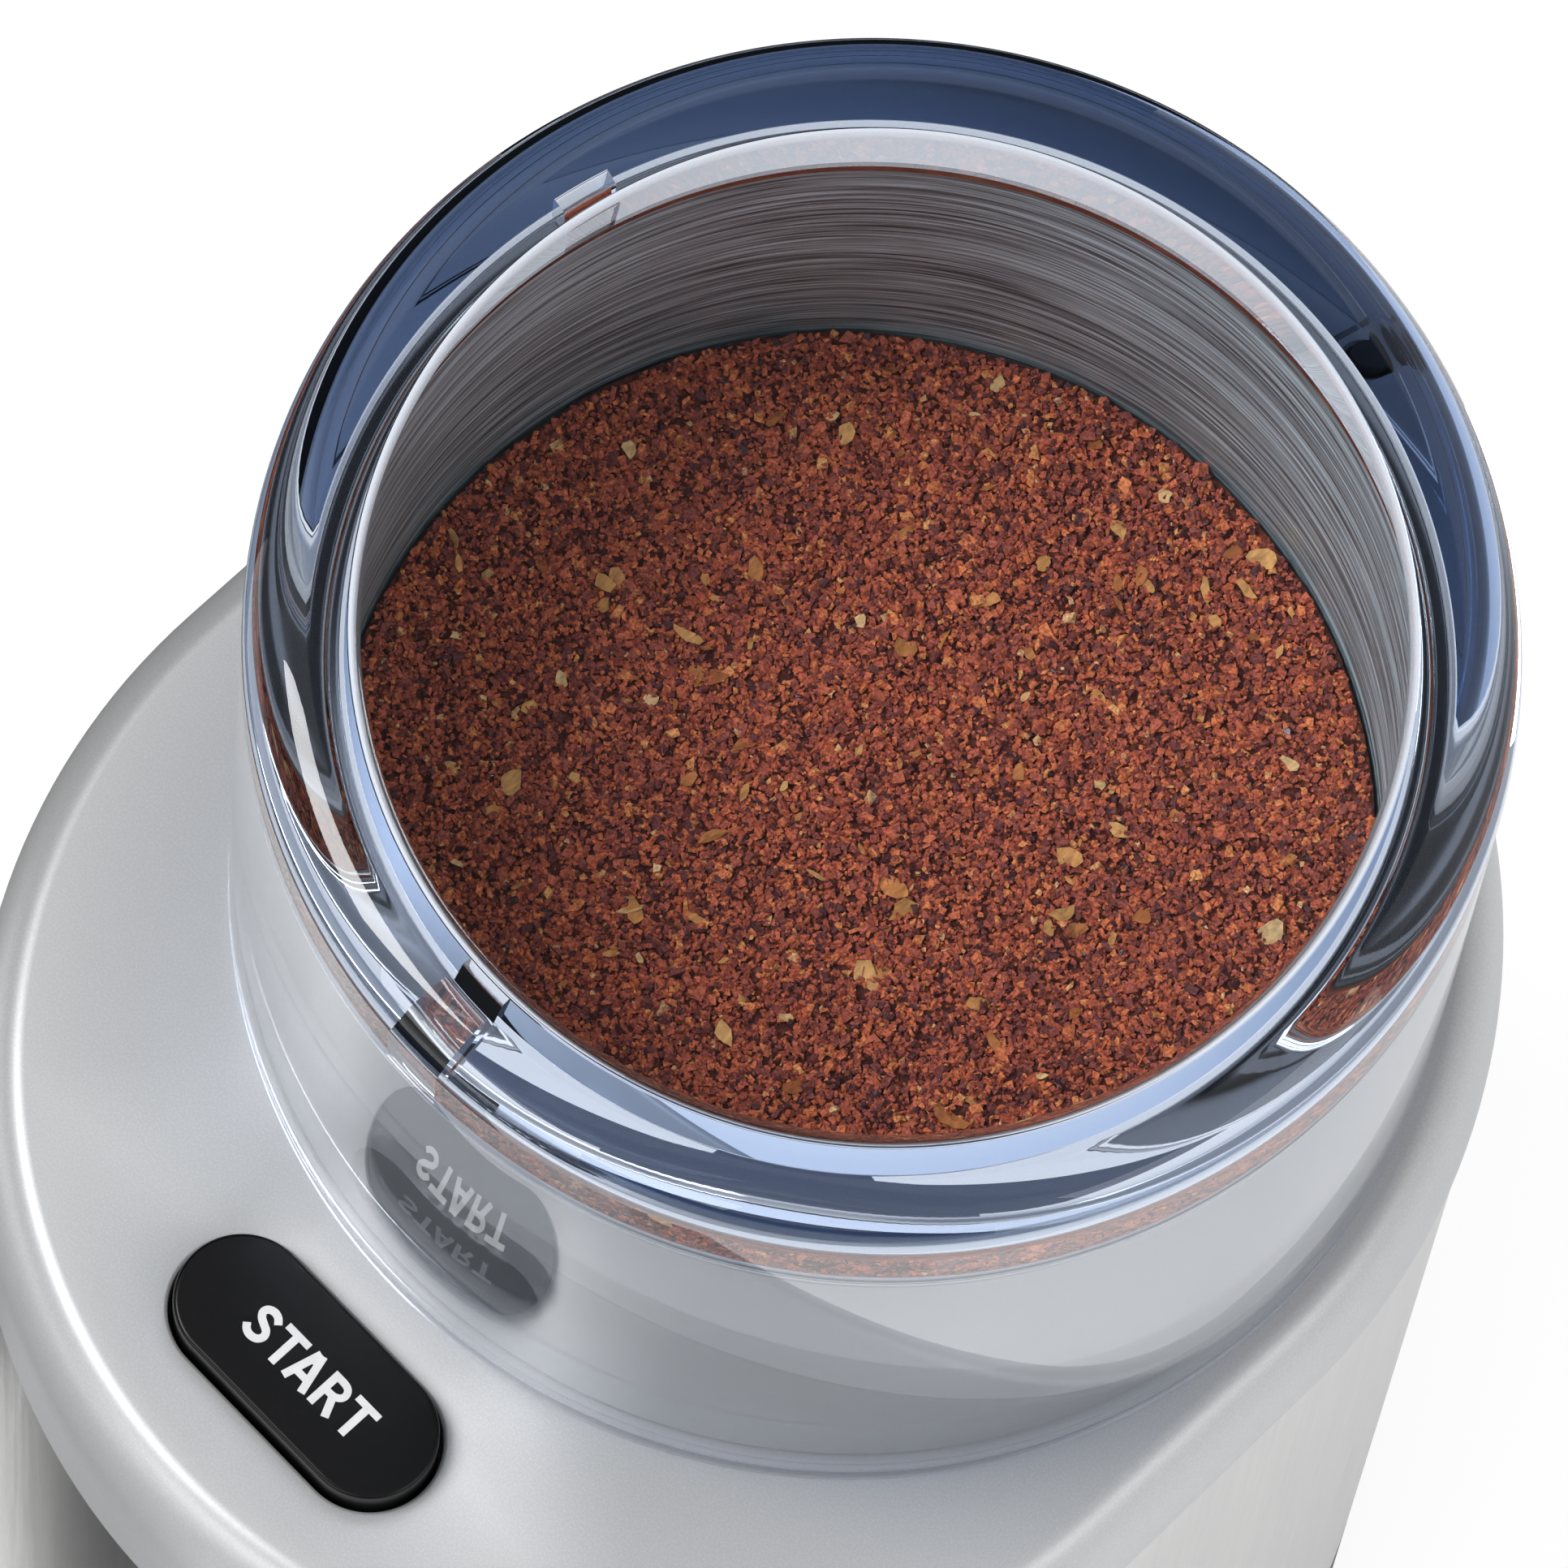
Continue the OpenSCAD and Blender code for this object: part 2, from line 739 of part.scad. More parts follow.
module stator_core() {
    slot = coil_w + 2 * slot_gap;
    color([0.35, 0.35, 0.37]) at_bowl(stator_z) difference() {
        intersection() {
            cylinder(r = stator_r, h = stator_h);
            translate([-stator_r, -stator_flat, 0]) cube([2 * stator_r, 2 * stator_flat, stator_h]);
        }
        translate([0, 0, -1]) cylinder(r = rotor_r + air_gap, h = stator_h + 2);
        for (sx = [-1, 1], sy = [-1, 1]) {
            translate([sx * (pole_x0 + coil_w / 2), sy * (coil_y0 + coil_y1) / 2, stator_h / 2]) {
                cube([slot, coil_y1 - coil_y0 + 2 * slot_gap, stator_h + 2], center = true);
            }
        }
    }
}

module field_coils() {
    coil_h = coil_top - coil_z;
    color([0.72, 0.4, 0.2]) at_bowl(coil_z) for (s = [-1, 1]) {
        translate([s * (pole_x0 + coil_w / 2), 0, coil_h / 2]) difference() {
            cube([coil_w, 2 * coil_y1, coil_h], center = true);
            cube([coil_w + 1, 2 * coil_y0, stator_h + 2 * slot_gap], center = true);
        }
    }
}

module brush_holders() {
    wide = brush_w + 2 * holder_t;
    tall = brush_z - lower_z + brush_h / 2 + holder_t;
    color([0.8, 0.65, 0.3]) for (s = [-1, 1]) {
        at_bowl() rotate([0, 0, 90 - 90 * s]) difference() {
            translate([comm_r + holder_gap, -wide / 2, lower_z]) cube([holder_l, wide, tall]);
            translate([comm_r + holder_gap - 1, -brush_w / 2 - fit, brush_z - brush_h / 2 - fit]) {
                cube([holder_l - 0.5, brush_w + 2 * fit, brush_h + 2 * fit]);
            }
        }
    }
}

module carbon_brushes() {
    color([0.12, 0.12, 0.12]) for (s = [-1, 1]) {
        at_bowl() rotate([0, 0, 90 - 90 * s]) {
            translate([comm_r + slip, -brush_w / 2, brush_z - brush_h / 2]) {
                cube([brush_l, brush_w, brush_h]);
            }
        }
    }
}

module motor_bolts() {
    low = lower_z - plate_t - screw_head_h;
    color([0.7, 0.7, 0.7]) for (s = [-1, 1]) {
        at_bowl(low) translate([0, s * bolt_reach, 0]) {
            cylinder(r = screw_head_r, h = screw_head_h);
            cylinder(r = bolt_r, h = seat_under - low - 0.5);
        }
    }
}

module motor_shaft() {
    color([0.75, 0.75, 0.77]) at_bowl(shaft_z) cylinder(r = shaft_r, h = shaft_top - shaft_z);
}

module rotor_core() {
    color([0.35, 0.35, 0.37]) difference() {
        tube(rotor_r, shaft_r + fit, stator_z, stator_top);
        for (a = [0:30:330]) {
            at_bowl(stator_z - 1) rotate([0, 0, a]) translate([rotor_r - 3, -0.7, 0]) {
                cube([5, 1.4, stator_h + 2]);
            }
        }
    }
}

module rotor_windings() {
    color([0.72, 0.4, 0.2]) {
        tube(rotor_r - 1.5, shaft_r + fit, stator_top, stator_top + 5);
        tube(rotor_r - 1.5, shaft_r + fit, stator_z - 5, stator_z);
    }
}

module commutator() {
    color([0.75, 0.45, 0.25]) difference() {
        tube(comm_r, shaft_r + fit, comm_z, comm_z + comm_h);
        for (a = [0:30:330]) {
            at_bowl(comm_z - 1) rotate([0, 0, a]) translate([comm_r - 1, -0.25, 0]) {
                cube([2, 0.5, comm_h + 2]);
            }
        }
    }
}

module fan() {
    color([0.15, 0.15, 0.16]) {
        tube(7, shaft_r + fit, fan_z, fan_z + fan_h);
        tube(fan_r, 6, fan_z + fan_h - 1.6, fan_z + fan_h);
        for (i = [0:fan_blades - 1]) {
            at_bowl(fan_z) rotate([0, 0, 360 * i / fan_blades]) translate([6, -0.7, 0]) {
                cube([fan_r - 7, 1.4, fan_h - 1]);
            }
        }
    }
}

// A star: a round core with straight teeth
module star(root, reach, w, h) {
    cylinder(r = root, h = h);
    for (i = [0:teeth / 2 - 1]) {
        rotate([0, 0, 360 * i / teeth]) translate([-reach, -w / 2, 0]) cube([2 * reach, w, h]);
    }
}

module drive_coupling() {
    color([0.1, 0.1, 0.1]) difference() {
        union() {
            at_bowl(drive_body_z) cylinder(r = drive_body_r, h = seat_z - drive_body_z);
            at_bowl(seat_z - 1) star(tooth_root, tooth_r, tooth_w, drive_top - seat_z + 1);
        }
        at_bowl(drive_body_z - 1) cylinder(r = shaft_r + fit, h = shaft_top - drive_body_z + 1 + fit);
    }
}

// ---------- bowl ----------

// The bowl's inner surface in section, from its axis out and up to the rim, moved out by d
function liner_curve(d, top) = concat(
    [[0, floor_z - d]],
    [
        for (i = [0:8])
            let (a = 90 * i / 8)
                [
                    bowl_r - bowl_fillet + (bowl_fillet + d) * sin(a),
                    floor_z + bowl_fillet - (bowl_fillet + d) * cos(a)
                ]
    ],
    [[bowl_r + d, top]]
);

module bowl_liner() {
    inner = liner_curve(0, rim_top + 1);
    outer = liner_curve(steel_t, rim_top);
    color([0.75, 0.75, 0.76]) difference() {
        union() {
            at_bowl() rotate_extrude() polygon(concat(outer, [[0, rim_top]]));
            at_bowl(rim_low) cylinder(r = rim_r, h = rim_h);
        }
        at_bowl() rotate_extrude() polygon(concat(inner, [[0, rim_top + 1]]));
        at_bowl(bowl_under - 1) cylinder(r = bushing_r + fit, h = 5);
    }
}

module bowl_jacket() {
    color([0.75, 0.75, 0.76]) tube(rim_r, jacket_in, jacket_z, jacket_top);
}

module bowl_base() {
    shoulder_z = deck_z + slip;
    color([0.1, 0.1, 0.11]) difference() {
        union() {
            at_bowl(foot_z) cylinder(r = seat_r, h = bowl_under - fit - foot_z);
            at_bowl(shoulder_z) cylinder(r = jacket_in - fit, h = bowl_under - fit - shoulder_z);
        }
        at_bowl(foot_z - 1) cylinder(r = base_pocket_r, h = base_pocket_z - foot_z + 1);
        at_bowl(foot_z) cylinder(r = bushing_r + fit, h = seat_depth + bowl_floor + 2);
        difference() {
            at_bowl(foot_z - 1) cylinder(r = seat_r - 2.5, h = seat_depth - 3);
            at_bowl(foot_z - 2) cylinder(r = base_pocket_r + 2.5, h = seat_depth);
            around([30, 150, 270], bowl_boss_r()) {
                translate([0, 0, foot_z - 1]) cylinder(r = boss_r, h = seat_depth);
            }
        }
        around([30, 150, 270], bowl_boss_r()) {
            translate([0, 0, foot_z - 1]) cylinder(r = screw_r + fit, h = seat_depth + 10);
            translate([0, 0, foot_z - 1]) cylinder(r = screw_head_r + fit, h = screw_head_h + 2);
        }
        at_bowl() rotate_extrude() polygon(concat(liner_curve(steel_t + fit, rim_top), [[0, rim_top]]));
    }
}

function bowl_boss_r() = (base_pocket_r + seat_r) / 2;

module bowl_screws() {
    color([0.7, 0.7, 0.7]) around([30, 150, 270], bowl_boss_r()) {
        screw(foot_z + 0.8, bowl_under - fit);
    }
}

module spindle_bushing() {
    color([0.7, 0.5, 0.25]) {
        tube(bushing_r, spindle_r + run_fit, base_pocket_z, floor_z);
    }
}

module spindle_seal() {
    color([0.5, 0.1, 0.08]) tube(seal_r, spindle_r + 0.1, floor_z, floor_z + seal_h);
}

module spindle() {
    color([0.78, 0.78, 0.8]) {
        at_bowl(socket_z + tooth_h + 0.5) {
            cylinder(r = spindle_r, h = blade_z - socket_z - tooth_h - 0.5);
        }
        at_bowl(blade_z - 1) cylinder(r = spindle_r - 1, h = spindle_top - blade_z + 1);
    }
}

module blade_wing() {
    reach = blade_l / 2;
    bend = reach * 0.5;
    translate([0, -blade_w / 2, 0]) cube([bend, blade_w, blade_t]);
    translate([bend, -blade_w / 2, 0]) rotate([0, -tip_angle, 0]) {
        difference() {
            translate([-0.3, 0, 0]) cube([(reach - bend) / cos(tip_angle), blade_w, blade_t]);
            translate([2, -1, -1]) rotate([0, 0, -12]) cube([reach, 4, blade_t + 2]);
        }
    }
}

module blade() {
    color([0.8, 0.8, 0.82]) difference() {
        at_bowl(blade_z) union() {
            cylinder(r = blade_w * 0.7, h = blade_t);
            blade_wing();
            rotate([0, 0, 180]) blade_wing();
        }
        at_bowl(blade_z - 1) cylinder(r = spindle_r - 1 + fit, h = blade_t + 2);
    }
}

module blade_nut() {
    color([0.8, 0.8, 0.82]) difference() {
        at_bowl(blade_z + blade_t) cylinder(r = nut_r, h = nut_h, $fn = 6);
        at_bowl(blade_z) cylinder(r = spindle_r - 1 + fit, h = spindle_top - blade_z + fit);
    }
}

module spindle_clip() {
    color([0.3, 0.3, 0.3]) {
        tube(spindle_r + 2, spindle_r + fit, base_pocket_z - fit - clip_t, base_pocket_z - fit);
    }
}

module bowl_coupling() {
    color([0.85, 0.83, 0.78]) difference() {
        at_bowl(socket_z) cylinder(r = socket_r, h = socket_h);
        at_bowl(socket_z - 1) {
            star(tooth_root + slip, tooth_r + slip, tooth_w + 2 * slip, tooth_h + 1.4);
        }
        at_bowl(socket_z) cylinder(r = spindle_r + fit, h = socket_h + 1);
    }
}

module ground_spice() {
    color([0.36, 0.15, 0.09]) difference() {
        at_bowl() rotate_extrude() polygon(concat(liner_curve(-slip, spice_top), [[0, spice_top]]));
        at_bowl(floor_z - 1) cylinder(r = cavity_r, h = cavity_top - floor_z + 1);
    }
}

// ---------- lid ----------

// Quarter circle from a vertical line at r to a level line at z
function round_corner(r, z, radius, steps) = [
    for (i = [0:steps])
        let (a = 90 * i / steps)
            [r - radius + radius * cos(a), z - radius + radius * sin(a)]
];

module lid() {
    outside = concat(
        [[0, lid_z], [lid_r, lid_z]],
        round_corner(lid_top_r, lid_top_z, lid_round, 10),
        [[0, lid_top_z]]
    );
    inside = concat(
        [[0, lid_z - 1], [skirt_low, lid_z - 1], [skirt_low, lid_z]],
        [[skirt_high, ring_z], [ring_low, ring_z]],
        round_corner(ring_in, lid_under, lid_fillet, 4),
        [[0, lid_under]]
    );
    color([0.72, 0.76, 0.9, 0.45]) difference() {
        at_bowl() rotate_extrude() polygon(outside);
        at_bowl() rotate_extrude() polygon(inside);
        around(pocket_angles, rim_r - pocket_t) {
            translate([0, -pocket_w / 2, ring_z - 1]) cube([pocket_t, pocket_w, pocket_top - ring_z + 1]);
        }
        translate([-notch_w / 2, bowl_y + skirt_low - 1, lid_z - 1]) {
            cube([notch_w, lid_wall + 2, notch_h + 1]);
        }
    }
}

deck_cover();
housing_sleeve();
base_plate();
rubber_feet();
base_screws();
chassis();
chassis_screws();
cord_gland();
terminal_block();
switch_leads();
switch_carrier();
carrier_screws();
start_switch();
start_button();
button_spring();
interlock_pin();
interlock_spring();
interlock_switch();
motor_cushion();
upper_bracket();
lower_bracket();
upper_bearing();
lower_bearing();
stator_core();
field_coils();
brush_holders();
carbon_brushes();
motor_bolts();
motor_shaft();
rotor_core();
rotor_windings();
commutator();
fan();
drive_coupling();
bowl_liner();
bowl_jacket();
bowl_base();
bowl_screws();
spindle_bushing();
spindle_seal();
spindle();
blade();
blade_nut();
spindle_clip();
bowl_coupling();
ground_spice();
lid();
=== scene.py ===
"""Looks of the electric spice grinder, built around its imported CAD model. Metres, Z up."""

import json
import math

import bmesh
import bpy
import numpy as np
from mathutils import Matrix, Vector
from mathutils.geometry import delaunay_2d_cdt
from mathutils.noise import noise


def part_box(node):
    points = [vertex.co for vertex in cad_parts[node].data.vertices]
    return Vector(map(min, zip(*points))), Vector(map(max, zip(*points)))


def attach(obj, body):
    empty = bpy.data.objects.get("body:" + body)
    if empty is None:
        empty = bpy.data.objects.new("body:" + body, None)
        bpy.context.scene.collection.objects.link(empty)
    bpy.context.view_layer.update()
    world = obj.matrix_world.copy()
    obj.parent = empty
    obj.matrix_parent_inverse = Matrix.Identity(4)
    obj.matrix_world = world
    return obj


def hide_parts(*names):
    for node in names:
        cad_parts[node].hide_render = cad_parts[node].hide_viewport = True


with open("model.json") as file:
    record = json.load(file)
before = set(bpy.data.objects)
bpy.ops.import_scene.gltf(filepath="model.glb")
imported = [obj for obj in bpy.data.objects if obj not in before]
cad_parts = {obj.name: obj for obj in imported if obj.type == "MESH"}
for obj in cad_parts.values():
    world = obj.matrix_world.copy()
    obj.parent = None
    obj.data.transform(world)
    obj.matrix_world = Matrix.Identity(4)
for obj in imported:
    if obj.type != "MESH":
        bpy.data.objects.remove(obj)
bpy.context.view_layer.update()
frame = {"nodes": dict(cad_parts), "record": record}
NODES = frame["nodes"]
MM = 0.001
TAU = 2 * math.pi


# ---------- dimensions, read from the CAD nodes at rest ----------

def node_box(name):
    low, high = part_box(name)
    return [v / MM for v in low], [v / MM for v in high]


cover_low, cover_high = node_box("deck_cover")
lid_low, lid_high = node_box("lid")
liner_low, liner_high = node_box("bowl_liner")
jacket_low, jacket_high = node_box("bowl_jacket")
sleeve_low, sleeve_high = node_box("housing_sleeve")
spice_low, spice_high = node_box("ground_spice")
button_low, button_high = node_box("start_button")

BODY_R = (cover_high[0] - cover_low[0]) / 2
END_GAP = (cover_high[1] - cover_low[1]) - 2 * BODY_R
BOWL_Y = END_GAP / 2
DECK_Z = cover_high[2]
LID_R = (lid_high[0] - lid_low[0]) / 2
LID_TOP = lid_high[2]
RIM_R = (liner_high[0] - liner_low[0]) / 2
RIM_TOP = liner_high[2]
STEEL_T = 0.6
SPICE_R = (spice_high[0] - spice_low[0]) / 2
BOWL_R = SPICE_R + 0.3
SPICE_TOP = spice_high[2]
JACKET_R = (jacket_high[0] - jacket_low[0]) / 2
SLEEVE_R = (sleeve_high[0] - sleeve_low[0]) / 2
EDGE_W = 4.1
EDGE_H = 8.8
SEAM_SIDE = 9.6
SEAM_FRONT = 22.0
SEAM_GAP = 0.4
DECK_T = 3.0
LID_WALL = 3.2
LID_ROOF = 3.0
RIM_H = 1.2
RING_Z = RIM_TOP + 0.3
BOWL_FLOOR = DECK_Z + 3
BOWL_FILLET = 7
BUSHING_HOLE_R = 7.1
PIN_Y = BOWL_Y + LID_R - 1.175
PIN_HOLE_R = 1.4
SEAT_R = 38.3
SEAT_EDGE = DECK_Z - 2.9
SEAT_FLOOR, SEAT_UNDER = 137.7, 135.1
SHAFT_HOLE_R = 12
BUTTON_LIP = 1.4
BUTTON_L = button_high[0] - button_low[0] - 2 * BUTTON_LIP
BUTTON_W = button_high[1] - button_low[1] - 2 * BUTTON_LIP
BUTTON_Y = (button_high[1] + button_low[1]) / 2
BUTTON_GAP = 0.35
BUTTON_EDGE = 0.4
FLANGE_Z = DECK_Z - DECK_T - 2.1
FLANGE_H = 1.6
STEM_R = 2.4
SLOT_W = 5
POCKET_ANGLES = (268, 168)
POCKET_H, POCKET_D = 6.2, 1.5
NOTCH_ANGLE = 90
NOTCH_TOP = DECK_Z + 2.2
HEAP_R = SPICE_R - 0.05
HEAP_LEVEL = SPICE_TOP - 0.55


# ---------- meshes ----------

def rot(axis, angle):
    return Matrix.Rotation(angle, 3, axis)


def add_mesh(name, verts, faces, material, smooth=True, sharp=35):
    """A mesh from points in mm, with its normals outwards and its edges sharp above an angle."""
    mesh = bpy.data.meshes.new(name)
    mesh.from_pydata([[c * MM for c in v] for v in verts], [], faces)
    mesh.validate()
    bm = bmesh.new()
    bm.from_mesh(mesh)
    bmesh.ops.recalc_face_normals(bm, faces=bm.faces)
    bm.to_mesh(mesh)
    bm.free()
    if smooth:
        mesh.shade_smooth()
        mesh.set_sharp_from_angle(angle=math.radians(sharp))
    obj = bpy.data.objects.new(name, mesh)
    bpy.context.scene.collection.objects.link(obj)
    mesh.materials.append(material)
    return obj


def rounded(points, radii, steps=5):
    """The closed or open outline points with their corners rounded."""
    out = []
    n = len(points)
    for i, (p, r) in enumerate(zip(points, radii)):
        if not r:
            out.append(tuple(p))
            continue
        a, b, c = Vector(points[i - 1]), Vector(p), Vector(points[(i + 1) % n])
        u, v = (a - b).normalized(), (c - b).normalized()
        half = math.acos(max(-1, min(1, u.dot(v)))) / 2
        reach = min(r / math.tan(half), 0.49 * (a - b).length, 0.49 * (c - b).length)
        r = reach * math.tan(half)
        middle = b + (u + v).normalized() * (r / math.sin(half))
        start, end = b + u * reach, b + v * reach
        s, e = start - middle, end - middle
        turn = s.angle(e)
        sign = 1 if s.x * e.y - s.y * e.x > 0 else -1
        for k in range(steps + 1):
            w = sign * turn * k / steps
            out.append((
                middle.x + s.x * math.cos(w) - s.y * math.sin(w),
                middle.y + s.x * math.sin(w) + s.y * math.cos(w),
            ))
    return out


def lathe(profile, n=256, cy=None, closed=True):
    """Vertices and faces of an outline of (radius, height) turned about the bowl's axis."""
    cy = BOWL_Y if cy is None else cy
    verts, rings = [], []
    for r, z in profile:
        if r < 1e-6:
            rings.append([len(verts)] * n)
            verts.append((0, cy, z))
        else:
            rings.append(list(range(len(verts), len(verts) + n)))
            verts += circle_loop(r, z, n, cy)
    faces = []
    pairs = len(profile) if closed else len(profile) - 1
    for i in range(pairs):
        a, b = rings[i], rings[(i + 1) % len(rings)]
        for k in range(n):
            q = [a[k], a[(k + 1) % n], b[(k + 1) % n], b[k]]
            q = [v for j, v in enumerate(q) if v != q[j - 1]]
            if len(q) > 2:
                faces.append(q)
    return verts, faces


def stadium_loop(r, z, n=192, gap=None):
    """Points around a stadium plan; z is a height or a function of y."""
    gap = END_GAP if gap is None else gap
    half = n // 2
    out = []
    for end in (1, -1):
        for k in range(half):
            a = math.pi * k / (half - 1) + (0 if end > 0 else math.pi)
            x, y = r * math.cos(a), end * gap / 2 + r * math.sin(a)
            out.append((x, y, z(y) if callable(z) else z))
    return out


def pill_loop(grow, z, length, width, cy, n=96):
    """Points around a pill-shaped outline along X, grown outwards."""
    r = width / 2 + grow
    reach = (length - width) / 2
    out = []
    for end in (1, -1):
        for k in range(n // 2):
            a = -math.pi / 2 + math.pi * k / (n // 2 - 1) + (0 if end > 0 else math.pi)
            out.append((end * reach + r * math.cos(a), cy + r * math.sin(a), z))
    return out


def button_loop(grow, z):
    return pill_loop(grow, z, BUTTON_L, BUTTON_W, BUTTON_Y)


def circle_loop(r, z, n=192, cy=None):
    """Points around a level circle, about the bowl's axis unless cy says otherwise."""
    cy = BOWL_Y if cy is None else cy
    return [(r * math.cos(TAU * k / n), cy + r * math.sin(TAU * k / n), z) for k in range(n)]


class Shell:
    """Collects loops and faces of one mesh."""

    def __init__(self):
        self.verts, self.faces = [], []

    def loop(self, points):
        first = len(self.verts)
        self.verts += points
        return list(range(first, first + len(points)))

    def skin(self, loops, closed=False):
        pairs = list(zip(loops, loops[1:] + loops[:1] if closed else loops[1:]))
        for a, b in pairs:
            n = len(a)
            for k in range(n):
                self.faces.append([a[k], a[(k + 1) % n], b[(k + 1) % n], b[k]])

    def flat(self, outer, holes=()):
        """Fills the level region inside outer and outside holes."""
        index, edges = [], []
        for ring in [outer, *holes]:
            first = len(index)
            index += ring
            n = len(ring)
            edges += [(first + k, first + (k + 1) % n) for k in range(n)]
        points = [Vector(self.verts[i][:2]) for i in index]
        result = delaunay_2d_cdt(points, edges, [], 1, 1e-6, True)
        out_points, _, out_faces, orig = result[:4]
        number = [index[o[0]] if o else None for o in orig]
        rings = [[Vector(self.verts[i][:2]) for i in ring] for ring in holes]
        for face in out_faces:
            if any(number[i] is None for i in face):
                continue
            middle = sum((out_points[i] for i in face), Vector((0, 0))) / len(face)
            if not any(inside(middle, ring) for ring in rings):
                self.faces.append([number[i] for i in face])


def inside(p, ring):
    """Whether a point lies within a closed ring of points."""
    hit = False
    for a, b in zip(ring, ring[1:] + ring[:1]):
        if (a.y > p.y) != (b.y > p.y) and p.x < (b.x - a.x) * (p.y - a.y) / (b.y - a.y) + a.x:
            hit = not hit
    return hit


# ---------- materials ----------

class Mat:
    """A node material with a Principled shader."""

    def __init__(self, name, **values):
        self.mat = bpy.data.materials.new(name)
        self.mat.use_nodes = True
        self.nodes, self.links = self.mat.node_tree.nodes, self.mat.node_tree.links
        self.bsdf = self.nodes["Principled BSDF"]
        self.out = self.nodes["Material Output"]
        for key, value in values.items():
            self.set(self.bsdf, key.replace("_", " "), value)

    def set(self, node, socket, value):
        if isinstance(value, bpy.types.NodeSocket):
            self.links.new(value, node.inputs[socket])
        else:
            node.inputs[socket].default_value = value
        return node

    def add(self, kind, inputs=None, **attributes):
        node = self.nodes.new(kind)
        for key, value in attributes.items():
            setattr(node, key, value)
        for key, value in (inputs or {}).items():
            self.set(node, key, value)
        return node

    def calc(self, operation, a, b):
        return self.add("ShaderNodeMath", {0: a, 1: b}, operation=operation).outputs[0]

    def coords(self, scale):
        where = self.add("ShaderNodeTexCoord")
        node = self.add("ShaderNodeMapping", {"Vector": where.outputs["Object"]})
        node.inputs["Scale"].default_value = scale
        return node.outputs["Vector"]

    def noise(self, scale, detail=3, stretch=(1, 1, 1), roughness=0.5):
        node = self.add("ShaderNodeTexNoise", {
            "Vector": self.coords(stretch), "Scale": scale, "Detail": detail,
            "Roughness": roughness})
        return node.outputs["Fac"]

    def ramp(self, fac, stops, interpolation="LINEAR"):
        node = self.add("ShaderNodeValToRGB", {"Fac": fac})
        node.color_ramp.interpolation = interpolation
        while len(node.color_ramp.elements) < len(stops):
            node.color_ramp.elements.new(0.5)
        for element, (place, colour) in zip(node.color_ramp.elements, stops):
            element.position = place
            element.color = (*colour, 1) if len(colour) == 3 else colour
        return node.outputs["Color"]

    def span(self, fac, low, high, to_low, to_high):
        node = self.add("ShaderNodeMapRange", {
            "Value": fac, "From Min": low, "From Max": high, "To Min": to_low, "To Max": to_high})
        return node.outputs["Result"]

    def mix(self, fac, a, b, blend="MIX"):
        node = self.add("ShaderNodeMix", data_type="RGBA", blend_type=blend)
        self.set(node, 0, fac)
        for number, value in ((6, a), (7, b)):
            if isinstance(value, tuple) and len(value) == 3:
                value = (*value, 1)
            self.set(node, number, value)
        return node.outputs[2]

    def bump(self, height, strength, distance):
        node = self.add("ShaderNodeBump", {
            "Height": height, "Strength": strength, "Distance": distance})
        self.set(self.bsdf, "Normal", node.outputs["Normal"])
        return node


def grey(level, tint=(1, 1, 1)):
    return (level * tint[0], level * tint[1], level * tint[2], 1)


def paint_silver():
    m = Mat("silver_paint", Metallic=0.44, Roughness=0.42, IOR=1.5)
    flakes = m.add("ShaderNodeTexVoronoi", {"Vector": m.coords((1, 1, 1)), "Scale": 6500})
    fine = m.span(flakes.outputs["Distance"], 0.0, 0.7, 1.0, 0.0)
    fleck = m.ramp(m.noise(5200, 1), [(0.40, (0, 0, 0)), (0.70, (1, 1, 1))])
    base = m.mix(fleck, grey(0.42, (0.99, 0.995, 1.0)), grey(0.46, (0.99, 0.995, 1.0)))
    m.set(m.bsdf, "Base Color", base)
    m.bump(fine, 0.03, 0.00002)
    return m.mat


def brushed(name, base, rough, stretch, scale=900, depth=0.00001, amount=0.12, tint=(1, 1, 1),
            anisotropic=0.0, strength=0.2, coat=0.0, reach=0.25):
    """Brushed steel: streaks run where stretch is small, and highlights spread across them."""
    m = Mat(name, Metallic=1.0, Anisotropic=anisotropic,
            Anisotropic_Rotation=0.25 if anisotropic else 0.0)
    if coat:
        m.bsdf.inputs["Coat Weight"].default_value = 1.0
        m.bsdf.inputs["Coat Roughness"].default_value = 0.04
        m.bsdf.inputs["Coat IOR"].default_value = coat
    streak = m.noise(scale, 4, stretch, 0.6)
    fine = m.noise(scale * 3.1, 2, stretch, 0.5)
    both = m.mix(0.4, streak, fine)
    m.set(m.bsdf, "Base Color", m.ramp(
        both, [(0.5 - reach, grey(base * (1 - amount), tint)),
               (0.5 + reach, grey(min(1, base * (1 + amount)), tint))]))
    m.set(m.bsdf, "Roughness", m.span(both, 0.2, 0.8, rough * 0.85, rough * 1.2))
    m.bump(both, strength, depth)
    if anisotropic:
        tangent = m.add("ShaderNodeTangent", direction_type="RADIAL", axis="Z")
        m.set(m.bsdf, "Tangent", tangent.outputs["Tangent"])
    return m.mat


